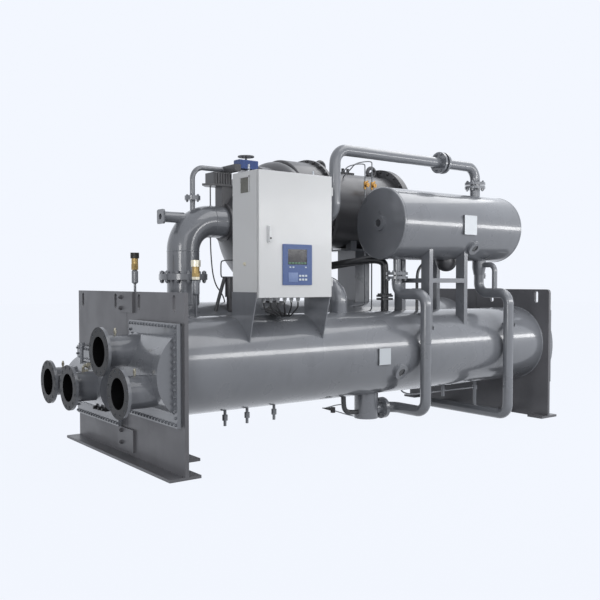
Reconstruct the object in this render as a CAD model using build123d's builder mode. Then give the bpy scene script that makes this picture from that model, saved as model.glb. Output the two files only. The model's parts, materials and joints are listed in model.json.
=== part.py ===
from build123d import *
import math
import os

# Water-cooled centrifugal chiller. Millimetres, +Z up, +X along the shells, +Y to the back.
# The origin is on the floor, below the outer face of the nozzle-end plates, at their mid-width.

# End plates and feet
PLATE_WIDTH = 1800
PLATE_HEIGHT = 1200
PLATE_THICKNESS = 28
PLATE_CORNER = 30
SHELL_LENGTH = 3780
FOOT_THICKNESS = 20
FOOT_TOE = 110
FOOT_HEEL = 90
FOOT_PAD_REACH = 322
FOOT_PAD_WIDTH = 160
FOOT_PAD_SPREAD = 360
SEAM_Y = -36
SEAM_GAP = 4
SPLICE_WIDTH = 264
SPLICE_TOP_HEIGHT = 150
SPLICE_BOTTOM_HEIGHT = 162
SPLICE_THICKNESS = 16
SPLICE_INSET = 10
SPLICE_LIFT = 28
SLOT_LENGTH = 110
SLOT_WIDTH = 40
SLOT_DROP = 72
SLOT_EDGE = 140
SLOT_BACK_EDGE = 97
SLOT_SPREAD = 200

# Shells
CONDENSER_Y = -498
CONDENSER_Z = 688
CONDENSER_RADIUS = 340
CONDENSER_WALL = 10
EVAPORATOR_Y = 433
EVAPORATOR_Z = 655
EVAPORATOR_RADIUS = 445
EVAPORATOR_WALL = 12
SEAT = 0.3

# Water boxes and their bolted flanges
BOX_WALL = 12
BOX_FLANGE_THICKNESS = 25
TUBE_SHEET_THICKNESS = 18
TUBE_SHEET_INSET = 12
CONDENSER_BOX_Y = -520
CONDENSER_BOX_Z = 669
CONDENSER_BOX_WIDTH = 714
CONDENSER_BOX_HEIGHT = 670
EVAPORATOR_BOX_Z = 487
EVAPORATOR_BOX_WIDTH = 800
EVAPORATOR_BOX_HEIGHT = 546
BOX_MARGIN = 84
BOX_SIDE_MARGIN = 42
NOZZLE_BOX_BULGE = 121
RETURN_BOX_BULGE = 87

# Water nozzles with flanges for 200 mm nominal pipe
NOZZLE_FACE_X = -348
NOZZLE_PIPE_RADIUS = 108.15
NOZZLE_BORE_RADIUS = 102.35
NOZZLE_FLANGE_RADIUS = 165
NOZZLE_FLANGE_THICKNESS = 22
NOZZLE_BOLT_RADIUS = 145
NOZZLE_BOLT_HOLE_RADIUS = 11.5
NOZZLE_BOLT_COUNT = 12
NOZZLE_INSET = 2
CONDENSER_LOW_NOZZLE_Y = -655
CONDENSER_LOW_NOZZLE_Z = 559
CONDENSER_HIGH_NOZZLE_Y = -353
CONDENSER_HIGH_NOZZLE_Z = 804
EVAPORATOR_NOZZLE_SPREAD = 210
EVAPORATOR_NOZZLE_Z = 502

# Control panel, its door and its brackets
PANEL_LEFT_X = 564
PANEL_WIDTH = 636
PANEL_FRONT_Y = -880
PANEL_DEPTH = 306
PANEL_BOTTOM_Z = 1158
PANEL_HEIGHT = 872
PANEL_WALL = 3
PANEL_RIM = 22
DOOR_THICKNESS = 20
DOOR_SKIN = 3
DOOR_GAP = 5
DOOR_CORNER = 4
HINGE_PIN_RADIUS = 4
HINGE_CLEARANCE = 0.3
HINGE_KNUCKLE_RADIUS = 7
HINGE_LENGTH = 60
HINGE_INSET = 110
HINGE_OFFSET = 8
BRACKET_THICKNESS = 8
BRACKET_TIP_Z = 850
BRACKET_TIP_Y = -797
GLAND_COUNT = 6
GLAND_RADIUS = 16
GLAND_LENGTH = 34
GLAND_NUT_RADIUS = 12.8
GLAND_TAPER = 12
GLAND_FIRST_X = 676
GLAND_LAST_X = 972
GLAND_Y = -800
HINGE_LEAF = 4
HINGE_LEAF_REACH = 45
DOOR_INSET = 2
STANDOFF_RADIUS = 8
STANDOFF_LENGTH = 20
HANDLE_X = 647
HANDLE_Z = 1595
HANDLE_PLATE_LENGTH = 130
HANDLE_PLATE_WIDTH = 32
HANDLE_PLATE_THICKNESS = 6
HANDLE_LENGTH = 112
HANDLE_WIDTH = 20
HANDLE_THICKNESS = 16
DISPLAY_X = 886
DISPLAY_Z = 1389
DISPLAY_WIDTH = 252
DISPLAY_HEIGHT = 284
DISPLAY_CORNER = 6
DISPLAY_THICKNESS = 8
SCREEN_X = 885
SCREEN_Z = 1443
SCREEN_WIDTH = 166
SCREEN_HEIGHT = 108
SCREEN_DEPTH = 4
BRACKET_LIP = 40

# Suction line in 250 mm nominal pipe
SUCTION_X = 711
SUCTION_RADIUS = 133.7
SUCTION_WALL = 6.6
SUCTION_BEND = 254
SUCTION_AXIS_Z = 1776
SUCTION_FLANGE_RADIUS = 200
SUCTION_FLANGE_THICKNESS = 24
SUCTION_JOINT_Z = 1310
SUCTION_BOLT_RADIUS = 177.5
SUCTION_BOLT_COUNT = 12
SUCTION_BOLT_HOLE_RADIUS = 12.5

# Compressor, gear casing and motor
INLET_X = 1085
VOLUTE_X = 1300
VOLUTE_RADIUS = 500
VOLUTE_SHOULDER = 60
INLET_LIP = 30
INLET_COLLAR = 20
SCROLL_X = 1585
SCROLL_RING_RADIUS = 433
SCROLL_TUBE_RADIUS = 122
SCROLL_OUTLET_RADIUS = 96
SCROLL_OUTLET_Z = 1420
SCROLL_OUTLET_TOP_Z = 1700
SCROLL_FLANGE_RADIUS = 105
SCROLL_FLANGE_THICKNESS = 24
CASING_RIM = 28
CASING_RIM_LENGTH = 30
OIL_SUMP_WIDTH = 420
OIL_SUMP_DEPTH = 55
GEAR_X = 1710
GEAR_LENGTH = 270
GEAR_RADIUS = 455
GEAR_HOOD_LENGTH = 70
GEAR_HOOD_ROUND = 15
GEAR_AXIS_Z = 1900
MOTOR_X = 1980
MOTOR_LENGTH = 880
MOTOR_RADIUS = 355
MOTOR_AXIS_Z = 1940
MOTOR_END_LENGTH = 65
MOTOR_END_RADIUS = 430
MOTOR_CAP_LENGTH = 60
MOTOR_CAP_RADIUS = 330
MOTOR_CAP_ROUND = 30
NEAR_EYE_X = 2150
FAR_EYE_X = 2790
EYE_RADIUS = 47
EYE_BAR_RADIUS = 18
EYE_RISE = 44
TERMINAL_X = 2400
TERMINAL_PLATE_LENGTH = 210
TERMINAL_PLATE_WIDTH = 150
TERMINAL_PLATE_RISE = 10
TERMINAL_PITCH = 62
TERMINAL_RADIUS = 14
TERMINAL_HEIGHT = 50
PEDESTAL_X = 1440
PEDESTAL_LENGTH = 180
PEDESTAL_WIDTH = 420
COLUMN_X = 2565
COLUMN_LENGTH = 180
COLUMN_WIDTH = 260
MOTOR_BASE_Z = 1560
MOTOR_BASE_LENGTH = 430
MOTOR_BASE_WIDTH = 420
MOTOR_BASE_THICKNESS = 20
MOTOR_FOOT = 70

# Economizer vessel on its legs
ECONOMIZER_X = 1998
ECONOMIZER_LENGTH = 1466
ECONOMIZER_Y = -555
ECONOMIZER_Z = 1751
ECONOMIZER_RADIUS = 295
ECONOMIZER_WALL = 9
ECONOMIZER_END = 22
LEG_SPREAD = 160
LEG_DEPTH = 95
LEG_WIDTH = 42
LEG_WALL = 6
LEG_FIRST_X = 2362
LEG_SECOND_X = 2792
LEG_BAR_Z = 1262
LEG_BAR_HEIGHT = 38

# Refrigerant pipes
GAS_PIPE_RADIUS = 44.55
GAS_PIPE_WALL = 5.5
GAS_PIPE_BEND = 114
GAS_PIPE_Z = 2308
GAS_RISER_X = 3167
GAS_DROP_X = 1516
GAS_JOINT_X = 2716
LIQUID_PIPE_RADIUS = 44.55
LIQUID_PIPE_WALL = 5.5
LIQUID_PIPE_BEND = 95
LIQUID_FRONT_Y = -892
LIQUID_HIGH_Z = 1170
LIQUID_LOW_Z = 215
LIQUID_OFFSET = 192
LIQUID_LEAD = 3
FEED_OFFSET = 1232
FEED_LOW_Z = 88
FEED_END_Y = 120
GAS_FLANGE_RADIUS = 92.5
GAS_FLANGE_THICKNESS = 22
GAS_FLANGE_GAP = 12
GAS_RISER_JOINT_Z = 2142
LIQUID_NECK_RADIUS = 31
LIQUID_JOINT_Z = 1294
FEED_BODY_RADIUS = 62
FEED_BODY_DROP = 56
FEED_TAPER_LENGTH = 67
FEED_TAPER_RADIUS = 48
BYPASS_Y = -735
BYPASS_DROP = 31
BYPASS_RADIUS = 24
BYPASS_WALL = 4
BYPASS_BEND = 60
DISCHARGE_X = 1601
DISCHARGE_RADIUS = 69.9
DISCHARGE_WALL = 6
DISCHARGE_BEND = 150
DISCHARGE_Z = 1245
DISCHARGE_TOP_Y = -60

# Sump below the condenser and its drain valve
SUMP_RADIUS = 98
SUMP_BOTTOM_Z = 150
SUMP_FLANGE_RADIUS = 87.5
SUMP_FLANGE_THICKNESS = 18
SUMP_STUB = 58

# Equalizing pipe, bypass valve and the side port of the elbow
EQUALIZING_X = 801
EQUALIZING_Z = 2222
EQUALIZING_RADIUS = 21.35
EQUALIZING_WALL = 3.5
EQUALIZING_BEND = 100
EQUALIZING_JOINT_Z = 1964
EQUALIZING_FLANGE_RADIUS = 65
EQUALIZING_FLANGE_THICKNESS = 18
PORT_X = 520
PORT_Z = 1797
PORT_RADIUS = 44.55
PORT_FLANGE_WIDTH = 118
PORT_FLANGE_THICKNESS = 15
PORT_FLANGE_CORNER = 20
PORT_BORE = 24
VALVE_BLOCK_X = 1095
VALVE_BLOCK_LENGTH = 57
VALVE_BLOCK_WIDTH = 240
VALVE_BLOCK_HEIGHT = 56
VALVE_ACTUATOR_LENGTH = 182
VALVE_ACTUATOR_WIDTH = 100
VALVE_ACTUATOR_HEIGHT = 75
VALVE_ACTUATOR_Y = 300
VALVE_STEM_RADIUS = 9
HANDWHEEL_RADIUS = 70
HANDWHEEL_Z = 2325
HANDWHEEL_THICKNESS = 10
HANDWHEEL_RIM = 12
HANDWHEEL_SPOKES = 5

# Guide vane actuator on the compressor's inlet
ACTUATOR_NECK_X = 1052
ACTUATOR_NECK_LENGTH = 128
ACTUATOR_NECK_WIDTH = 110
ACTUATOR_SEAT_Z = 2075
ACTUATOR_PLATE_X = 892
ACTUATOR_PLATE_LENGTH = 288
ACTUATOR_PLATE_THICKNESS = 18
ACTUATOR_BOX_X = 963
ACTUATOR_BOX_LENGTH = 178
ACTUATOR_BOX_WIDTH = 150
ACTUATOR_BOX_TOP_Z = 2188
ACTUATOR_RIB_COUNT = 7
ACTUATOR_RIB_WIDTH = 8

# Relief valves
RELIEF_STEM_RADIUS = 10
RELIEF_BODY_RADIUS = 26
RELIEF_BONNET_RADIUS = 30
RELIEF_CAP_RADIUS = 34
CONDENSER_RELIEF_X = 308
CONDENSER_RELIEF_BODY_Z = 1175
EVAPORATOR_RELIEF_X = 281
EVAPORATOR_RELIEF_BODY_Z = 1255
RELIEF_BODY_HEIGHT = 110
RELIEF_BONNET_HEIGHT = 90
RELIEF_CAP_HEIGHT = 45

# Sight glasses, nameplates, drains and vents
GLASS_RING_RADIUS = 62
GLASS_RING_HEIGHT = 26
GLASS_RADIUS = 32
GLASS_THICKNESS = 8
CONDENSER_GLASS_X = 1979
CONDENSER_GLASS_TILT = 22.5
ECONOMIZER_GLASS_X = 2876
ECONOMIZER_GLASS_TILT = 38
PLATE_STANDOFF = 12
PLATE_FOLD = 36
NAMEPLATE_THICKNESS = 3
CONDENSER_NAMEPLATE_X = 1723
CONDENSER_NAMEPLATE_WIDTH = 121
CONDENSER_NAMEPLATE_HEIGHT = 128
ECONOMIZER_NAMEPLATE_X = 2681
ECONOMIZER_NAMEPLATE_WIDTH = 155
ECONOMIZER_NAMEPLATE_HEIGHT = 163
DRAIN_X = (541, 730, 971)
DRAIN_RADIUS = 11
DRAIN_BODY_RADIUS = 20
DRAIN_BODY_HEIGHT = 40
DRAIN_BOTTOM_Z = 232
FLOAT_X = 2790
FLOAT_RADIUS = 92
FLOAT_DROP = 94
FLOAT_ROUND = 88
VENT_X = -230
VENT_RADIUS = 7
VENT_BODY_RADIUS = 11
VENT_HEIGHT = 46

# Cables from the panel to the compressor's support
CABLE_RADIUS = 6
CABLE_PITCH = 20
CABLE_BEND = 38
CABLE_RUN_X = 900
CABLE_LOW_Y = -735
CABLE_LOW_Z = 1020
CABLE_CREST_Y = -560
CABLE_CREST_Z = 1056
CABLE_LEAD = 130
CABLE_FAR_Z = 1100

os.makedirs("parts", exist_ok=True)

RIGHT_PLATE_X = PLATE_THICKNESS + SHELL_LENGTH
TOTAL_LENGTH = RIGHT_PLATE_X + PLATE_THICKNESS
MIDDLE_X = TOTAL_LENGTH / 2
FRONT_Y = -PLATE_WIDTH / 2
BACK_Y = PLATE_WIDTH / 2
MID_LENGTH = Plane.YZ.offset(MIDDLE_X)


def facing_x(x, y=0, z=0):
    """A plane across the shells, with its local x along +Y and its local y along +Z."""
    return Plane(origin=(x, y, z), x_dir=(0, 1, 0), z_dir=(1, 0, 0))


def finish(block, name):
    """Labels a piece and writes it as its own file."""
    block.part.label = name
    export_step(block.part, f"parts/{name}.step")


def bolted_disc(plane, radius, thickness, bore=0, bolt_circle=0, bolts=0, hole=0):
    """A pipe flange: a disc with its bore and a ring of bolt holes."""
    with BuildPart() as disc:
        with BuildSketch(plane):
            Circle(radius)
            if bore:
                Circle(bore, mode=Mode.SUBTRACT)
            if bolts:
                with PolarLocations(bolt_circle, bolts, start_angle=180 / bolts):
                    Circle(hole, mode=Mode.SUBTRACT)
        extrude(amount=thickness)
    return disc.part


def bent_pipe(points, bend, radius, wall=0):
    """A pipe along straight runs joined by bends of one radius, or a solid bar without a wall."""
    with BuildPart() as pipe:
        with BuildLine() as route:
            if len(points) > 2:
                FilletPolyline(*points, radius=bend)
            else:
                Line(*points)
        with BuildSketch(Plane(origin=route.line @ 0, z_dir=route.line % 0)):
            Circle(radius)
            if wall:
                Circle(radius - wall, mode=Mode.SUBTRACT)
        sweep(path=route.line)
    return pipe.part


def shell_tube(x, y, z, radius, wall, length):
    """A vessel shell lying along X."""
    with BuildPart() as tube:
        with BuildSketch(facing_x(x, y, z)):
            Circle(radius)
            Circle(radius - wall, mode=Mode.SUBTRACT)
        extrude(amount=length)
    return tube.part


def solid_drum(x, y, z, radius, length):
    """A solid round body lying along X, used to cut seats on a shell."""
    with BuildPart() as drum:
        with BuildSketch(facing_x(x, y, z)):
            Circle(radius)
        extrude(amount=length)
    return drum.part


condenser_seat = solid_drum(0, CONDENSER_Y, CONDENSER_Z, CONDENSER_RADIUS + SEAT, TOTAL_LENGTH)
evaporator_seat = solid_drum(0, EVAPORATOR_Y, EVAPORATOR_Z, EVAPORATOR_RADIUS + SEAT, TOTAL_LENGTH)
economizer_seat = solid_drum(
    ECONOMIZER_X, ECONOMIZER_Y, ECONOMIZER_Z, ECONOMIZER_RADIUS + SEAT, ECONOMIZER_LENGTH
)
motor_seat = solid_drum(MOTOR_X, EVAPORATOR_Y, MOTOR_AXIS_Z, MOTOR_RADIUS + SEAT, MOTOR_LENGTH)


def compressor_body(grow):
    """The turned body of the compressor, or a larger one that cuts seats on it."""
    inlet_radius = SUCTION_RADIUS + INLET_LIP + grow
    ring_start = math.sqrt(SCROLL_TUBE_RADIUS**2 - (VOLUTE_RADIUS - SCROLL_RING_RADIUS) ** 2)
    axis_plane = Plane(origin=(0, EVAPORATOR_Y, SUCTION_AXIS_Z), x_dir=(1, 0, 0), z_dir=(0, -1, 0))
    turning_axis = Axis((0, EVAPORATOR_Y, SUCTION_AXIS_Z), (1, 0, 0))
    with BuildPart() as body:
        with BuildSketch(axis_plane):
            with BuildLine():
                Polyline(
                    (INLET_X, 0),
                    (INLET_X, inlet_radius),
                    (INLET_X + INLET_COLLAR, inlet_radius),
                    (VOLUTE_X, VOLUTE_RADIUS - VOLUTE_SHOULDER + grow),
                    (VOLUTE_X + VOLUTE_SHOULDER, VOLUTE_RADIUS + grow),
                    (SCROLL_X - ring_start, VOLUTE_RADIUS + grow),
                    (SCROLL_X + SCROLL_TUBE_RADIUS, VOLUTE_RADIUS - VOLUTE_SHOULDER + grow),
                    (GEAR_X, VOLUTE_RADIUS - VOLUTE_SHOULDER + grow),
                    (GEAR_X, 0),
                    (INLET_X, 0),
                )
            make_face()
        revolve(axis=turning_axis)
        with BuildSketch(axis_plane):
            with Locations((SCROLL_X, SCROLL_RING_RADIUS)):
                Circle(SCROLL_TUBE_RADIUS + grow)
        revolve(axis=turning_axis)
    return body.part


compressor_seat = compressor_body(SEAT)
suction_points = [
    (SUCTION_X, EVAPORATOR_Y, SUCTION_JOINT_Z),
    (SUCTION_X, EVAPORATOR_Y, SUCTION_AXIS_Z),
    (INLET_X, EVAPORATOR_Y, SUCTION_AXIS_Z),
]
suction_bend_seat = bent_pipe(suction_points, SUCTION_BEND, SUCTION_RADIUS + SEAT)

# End plates: one for each shell at each end, standing on the foot and drilled with lifting slots.
PLATE_MID_Z = (PLATE_HEIGHT + FOOT_THICKNESS) / 2
PLATE_RISE = PLATE_HEIGHT - FOOT_THICKNESS
SLOT_Z = PLATE_HEIGHT - SLOT_DROP
CONDENSER_PLATE_EDGE = SEAM_Y - SEAM_GAP / 2
EVAPORATOR_PLATE_EDGE = SEAM_Y + SEAM_GAP / 2


def end_plate(x, near_y, far_y, slots, corner):
    """A tube-sheet plate from near_y to far_y, with its top corner towards the outside rounded."""
    with BuildPart() as plate:
        with BuildSketch(facing_x(x)):
            with Locations(((near_y + far_y) / 2, PLATE_MID_Z)):
                Rectangle(far_y - near_y, PLATE_RISE)
            with Locations(*[(slot_y, SLOT_Z) for slot_y in slots]):
                SlotOverall(SLOT_LENGTH, SLOT_WIDTH, rotation=90, mode=Mode.SUBTRACT)
        extrude(amount=PLATE_THICKNESS)
        if corner:
            upright = plate.edges().filter_by(Axis.X).group_by(Axis.Z)[-1]
            fillet(upright.sort_by(Axis.Y)[0 if near_y < SEAM_Y else -1], corner)
    return plate


CONDENSER_SLOTS = (FRONT_Y + SLOT_EDGE, SEAM_Y - SLOT_SPREAD)
EVAPORATOR_SLOTS = (SEAM_Y + SLOT_SPREAD, BACK_Y - SLOT_BACK_EDGE)
with BuildPart() as end_plates_left:
    add(end_plate(0, FRONT_Y, CONDENSER_PLATE_EDGE, CONDENSER_SLOTS, 0).part)
    add(end_plate(0, EVAPORATOR_PLATE_EDGE, BACK_Y, EVAPORATOR_SLOTS, 0).part)
finish(end_plates_left, "end_plates_left")

with BuildPart() as end_plates_right:
    add(end_plate(RIGHT_PLATE_X, FRONT_Y, CONDENSER_PLATE_EDGE, CONDENSER_SLOTS, PLATE_CORNER).part)
    add(end_plate(RIGHT_PLATE_X, EVAPORATOR_PLATE_EDGE, BACK_Y, EVAPORATOR_SLOTS, PLATE_CORNER).part)
finish(end_plates_right, "end_plates_right")

# Splice plates bolt the two plates of one end together, at the top and at the bottom.
with BuildPart() as left_splices:
    splice_top_z = PLATE_HEIGHT - SPLICE_TOP_HEIGHT / 2
    splice_bottom_z = FOOT_THICKNESS + SPLICE_LIFT + SPLICE_BOTTOM_HEIGHT / 2
    with BuildSketch(facing_x(0)):
        with Locations((SEAM_Y + SPLICE_INSET, splice_top_z)):
            Rectangle(SPLICE_WIDTH, SPLICE_TOP_HEIGHT)
        with Locations((SEAM_Y + SPLICE_INSET, splice_bottom_z)):
            Rectangle(SPLICE_WIDTH, SPLICE_BOTTOM_HEIGHT)
    extrude(amount=-SPLICE_THICKNESS)

with BuildPart() as splice_plates:
    add(left_splices.part)
    mirror(about=MID_LENGTH)
finish(splice_plates, "splice_plates")

# Feet: a flange plate across the whole width of each end, with pads on its inner side.
with BuildPart() as feet:
    with BuildSketch():
        with Locations(((PLATE_THICKNESS - FOOT_TOE) / 2, 0)):
            Rectangle(PLATE_THICKNESS + FOOT_TOE, PLATE_WIDTH)
    extrude(amount=FOOT_THICKNESS)
    mirror(about=MID_LENGTH)
finish(feet, "feet")

with BuildPart() as foot_pads:
    with BuildSketch():
        for side in (-1, 1):
            heel_y = side * (PLATE_WIDTH - FOOT_PAD_WIDTH) / 2
            with Locations((PLATE_THICKNESS, heel_y)):
                Rectangle(FOOT_HEEL, FOOT_PAD_WIDTH, align=(Align.MIN, Align.CENTER))
            with Locations((PLATE_THICKNESS, SEAM_Y + side * FOOT_PAD_SPREAD)):
                Rectangle(FOOT_PAD_REACH, FOOT_PAD_WIDTH, align=(Align.MIN, Align.CENTER))
    extrude(amount=FOOT_THICKNESS)
    mirror(about=MID_LENGTH)
finish(foot_pads, "foot_pads")

# The two shells butt against the inner faces of the end plates.
with BuildPart() as condenser_shell:
    add(
        shell_tube(
            PLATE_THICKNESS, CONDENSER_Y, CONDENSER_Z, CONDENSER_RADIUS, CONDENSER_WALL, SHELL_LENGTH
        )
    )
finish(condenser_shell, "condenser_shell")

with BuildPart() as evaporator_shell:
    add(
        shell_tube(
            PLATE_THICKNESS, EVAPORATOR_Y, EVAPORATOR_Z, EVAPORATOR_RADIUS, EVAPORATOR_WALL, SHELL_LENGTH
        )
    )
finish(evaporator_shell, "evaporator_shell")


# Water boxes: a rolled plate between two D-shaped cheeks, on a bolted rectangular flange.
def water_box(middle_y, middle_z, width, height, bulge, nozzles):
    """A water box on the left end plates. nozzles gives each pipe's y and z."""
    flange_x = -TUBE_SHEET_THICKNESS - BOX_FLANGE_THICKNESS
    half_height = height / 2 - BOX_MARGIN
    body_width = width - 2 * BOX_SIDE_MARGIN
    cheek = Plane(
        origin=(flange_x, middle_y - body_width / 2, middle_z), x_dir=(-1, 0, 0), z_dir=(0, 1, 0)
    )
    inner_cheek = cheek.offset(BOX_WALL)
    with BuildPart() as box:
        with BuildSketch(facing_x(flange_x, middle_y, middle_z)):
            Rectangle(width, height)
        extrude(amount=BOX_FLANGE_THICKNESS)
        with BuildSketch(cheek):
            with BuildLine():
                Line((0, -half_height), (0, half_height))
                ThreePointArc((0, half_height), (bulge, 0), (0, -half_height))
            make_face()
        extrude(amount=body_width)
        with BuildSketch(inner_cheek):
            with BuildLine():
                inner = half_height - BOX_WALL
                Line((0, -inner), (0, inner))
                ThreePointArc((0, inner), (bulge - BOX_WALL, 0), (0, -inner))
            make_face()
        extrude(amount=body_width - 2 * BOX_WALL, mode=Mode.SUBTRACT)
        with BuildSketch(facing_x(flange_x, middle_y, middle_z)):
            Rectangle(body_width - 2 * BOX_WALL, 2 * inner)
        extrude(amount=BOX_FLANGE_THICKNESS, mode=Mode.SUBTRACT)
        for nozzle_y, nozzle_z in nozzles:
            with BuildSketch(facing_x(flange_x, nozzle_y, nozzle_z)):
                Circle(NOZZLE_PIPE_RADIUS + SEAT)
            extrude(amount=-bulge, mode=Mode.SUBTRACT)
    return box


def tube_sheet_ring(middle_y, middle_z, width, height):
    """The frame between the end plate and the box flange."""
    with BuildPart() as ring:
        with BuildSketch(facing_x(-TUBE_SHEET_THICKNESS, middle_y, middle_z)):
            Rectangle(width - 2 * TUBE_SHEET_INSET, height - 2 * TUBE_SHEET_INSET)
            Rectangle(
                width - 2 * BOX_SIDE_MARGIN - 2 * BOX_WALL,
                height - 2 * BOX_MARGIN - 2 * BOX_WALL,
                mode=Mode.SUBTRACT,
            )
        extrude(amount=TUBE_SHEET_THICKNESS)
    return ring


condenser_nozzles = (
    (CONDENSER_LOW_NOZZLE_Y, CONDENSER_LOW_NOZZLE_Z),
    (CONDENSER_HIGH_NOZZLE_Y, CONDENSER_HIGH_NOZZLE_Z),
)
evaporator_nozzles = (
    (EVAPORATOR_Y - EVAPORATOR_NOZZLE_SPREAD, EVAPORATOR_NOZZLE_Z),
    (EVAPORATOR_Y + EVAPORATOR_NOZZLE_SPREAD, EVAPORATOR_NOZZLE_Z),
)
condenser_box_size = (CONDENSER_BOX_Y, CONDENSER_BOX_Z, CONDENSER_BOX_WIDTH, CONDENSER_BOX_HEIGHT)
evaporator_box_size = (EVAPORATOR_Y, EVAPORATOR_BOX_Z, EVAPORATOR_BOX_WIDTH, EVAPORATOR_BOX_HEIGHT)

condenser_water_box = water_box(*condenser_box_size, NOZZLE_BOX_BULGE, condenser_nozzles)
finish(condenser_water_box, "condenser_water_box")
evaporator_water_box = water_box(*evaporator_box_size, NOZZLE_BOX_BULGE, evaporator_nozzles)
finish(evaporator_water_box, "evaporator_water_box")

with BuildPart() as tube_sheets:
    add(tube_sheet_ring(*condenser_box_size).part)
    add(tube_sheet_ring(*evaporator_box_size).part)
    mirror(about=MID_LENGTH)
finish(tube_sheets, "tube_sheets")

with BuildPart() as near_return_boxes:
    add(water_box(*condenser_box_size, RETURN_BOX_BULGE, ()).part)
    add(water_box(*evaporator_box_size, RETURN_BOX_BULGE, ()).part)

with BuildPart() as return_boxes:
    add(mirror(near_return_boxes.part, about=MID_LENGTH, mode=Mode.PRIVATE))
finish(return_boxes, "return_boxes")


# Water nozzles: a pipe welded through the box wall and a flange at its outer end.
def water_nozzle(y, z):
    """One nozzle on the left end, open from its flange face into the water box."""
    inner_end = -TUBE_SHEET_THICKNESS - BOX_FLANGE_THICKNESS - NOZZLE_INSET
    with BuildPart() as nozzle:
        with BuildSketch(facing_x(NOZZLE_FACE_X, y, z)):
            Circle(NOZZLE_PIPE_RADIUS)
        extrude(amount=inner_end - NOZZLE_FACE_X)
        with BuildSketch(facing_x(NOZZLE_FACE_X, y, z)):
            Circle(NOZZLE_FLANGE_RADIUS)
        extrude(amount=NOZZLE_FLANGE_THICKNESS)
        with BuildSketch(facing_x(NOZZLE_FACE_X, y, z)):
            Circle(NOZZLE_BORE_RADIUS)
            half_pitch = 180 / NOZZLE_BOLT_COUNT
            with PolarLocations(NOZZLE_BOLT_RADIUS, NOZZLE_BOLT_COUNT, start_angle=half_pitch):
                Circle(NOZZLE_BOLT_HOLE_RADIUS)
        extrude(amount=inner_end - NOZZLE_FACE_X, mode=Mode.SUBTRACT)
    return nozzle


for name, nozzle_places in (
    ("condenser_nozzles", condenser_nozzles),
    ("evaporator_nozzles", evaporator_nozzles),
):
    with BuildPart() as nozzle_pair:
        for place in nozzle_places:
            add(water_nozzle(*place).part)
    finish(nozzle_pair, name)

# Control panel: an open-fronted sheet enclosure with a rim, a mounting plate and hinge pins.
PANEL_RIGHT_X = PANEL_LEFT_X + PANEL_WIDTH
PANEL_MIDDLE_X = PANEL_LEFT_X + PANEL_WIDTH / 2
PANEL_TOP_Z = PANEL_BOTTOM_Z + PANEL_HEIGHT
PANEL_MIDDLE_Z = PANEL_BOTTOM_Z + PANEL_HEIGHT / 2
PANEL_BACK_Y = PANEL_FRONT_Y + PANEL_DEPTH
HINGE_X = PANEL_RIGHT_X + HINGE_OFFSET
DOOR_BACK_Y = PANEL_FRONT_Y - DOOR_GAP
DOOR_FRONT_Y = DOOR_BACK_Y - DOOR_THICKNESS
HINGE_Y = DOOR_BACK_Y - DOOR_THICKNESS / 2
HINGE_LEVELS = (PANEL_BOTTOM_Z + HINGE_INSET, PANEL_TOP_Z - HINGE_INSET)


def facing_front(y, x=0, z=0):
    """A plane parallel to the panel's front, with its normal towards the front."""
    return Plane(origin=(x, y, z), x_dir=(1, 0, 0), z_dir=(0, -1, 0))


with BuildPart() as control_panel:
    with BuildSketch(facing_front(PANEL_BACK_Y, PANEL_MIDDLE_X, PANEL_MIDDLE_Z)):
        Rectangle(PANEL_WIDTH, PANEL_HEIGHT)
    extrude(amount=PANEL_DEPTH)
    with BuildSketch(facing_front(PANEL_BACK_Y - PANEL_WALL, PANEL_MIDDLE_X, PANEL_MIDDLE_Z)):
        Rectangle(PANEL_WIDTH - 2 * PANEL_WALL, PANEL_HEIGHT - 2 * PANEL_WALL)
    extrude(amount=PANEL_DEPTH - 2 * PANEL_WALL, mode=Mode.SUBTRACT)
    with BuildSketch(facing_front(PANEL_FRONT_Y + PANEL_WALL, PANEL_MIDDLE_X, PANEL_MIDDLE_Z)):
        Rectangle(PANEL_WIDTH - 2 * PANEL_RIM, PANEL_HEIGHT - 2 * PANEL_RIM)
    extrude(amount=PANEL_WALL, mode=Mode.SUBTRACT)
    for level in HINGE_LEVELS:
        with BuildSketch(Plane.XY.offset(level)):
            with Locations((PANEL_RIGHT_X, HINGE_Y)):
                Rectangle(HINGE_LEAF, HINGE_LEAF_REACH, align=(Align.MIN, Align.MIN))
            with Locations((HINGE_X, HINGE_Y)):
                Circle(HINGE_KNUCKLE_RADIUS)
        extrude(amount=HINGE_LENGTH / 2)
        with BuildSketch(Plane.XY.offset(level - HINGE_LENGTH / 2)):
            with Locations((HINGE_X, HINGE_Y)):
                Circle(HINGE_PIN_RADIUS)
        extrude(amount=HINGE_LENGTH / 2)
finish(control_panel, "control_panel")

with BuildPart() as panel_mounting_plate:
    with BuildSketch(facing_front(PANEL_BACK_Y - PANEL_WALL, PANEL_MIDDLE_X, PANEL_MIDDLE_Z)):
        with GridLocations(PANEL_WIDTH - 4 * PANEL_RIM, PANEL_HEIGHT - 4 * PANEL_RIM, 2, 2):
            Circle(STANDOFF_RADIUS)
    extrude(amount=STANDOFF_LENGTH)
    with BuildSketch(
        facing_front(PANEL_BACK_Y - PANEL_WALL - STANDOFF_LENGTH, PANEL_MIDDLE_X, PANEL_MIDDLE_Z)
    ):
        Rectangle(PANEL_WIDTH - 3 * PANEL_RIM, PANEL_HEIGHT - 3 * PANEL_RIM)
    extrude(amount=PANEL_WALL)
finish(panel_mounting_plate, "panel_mounting_plate")

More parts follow.
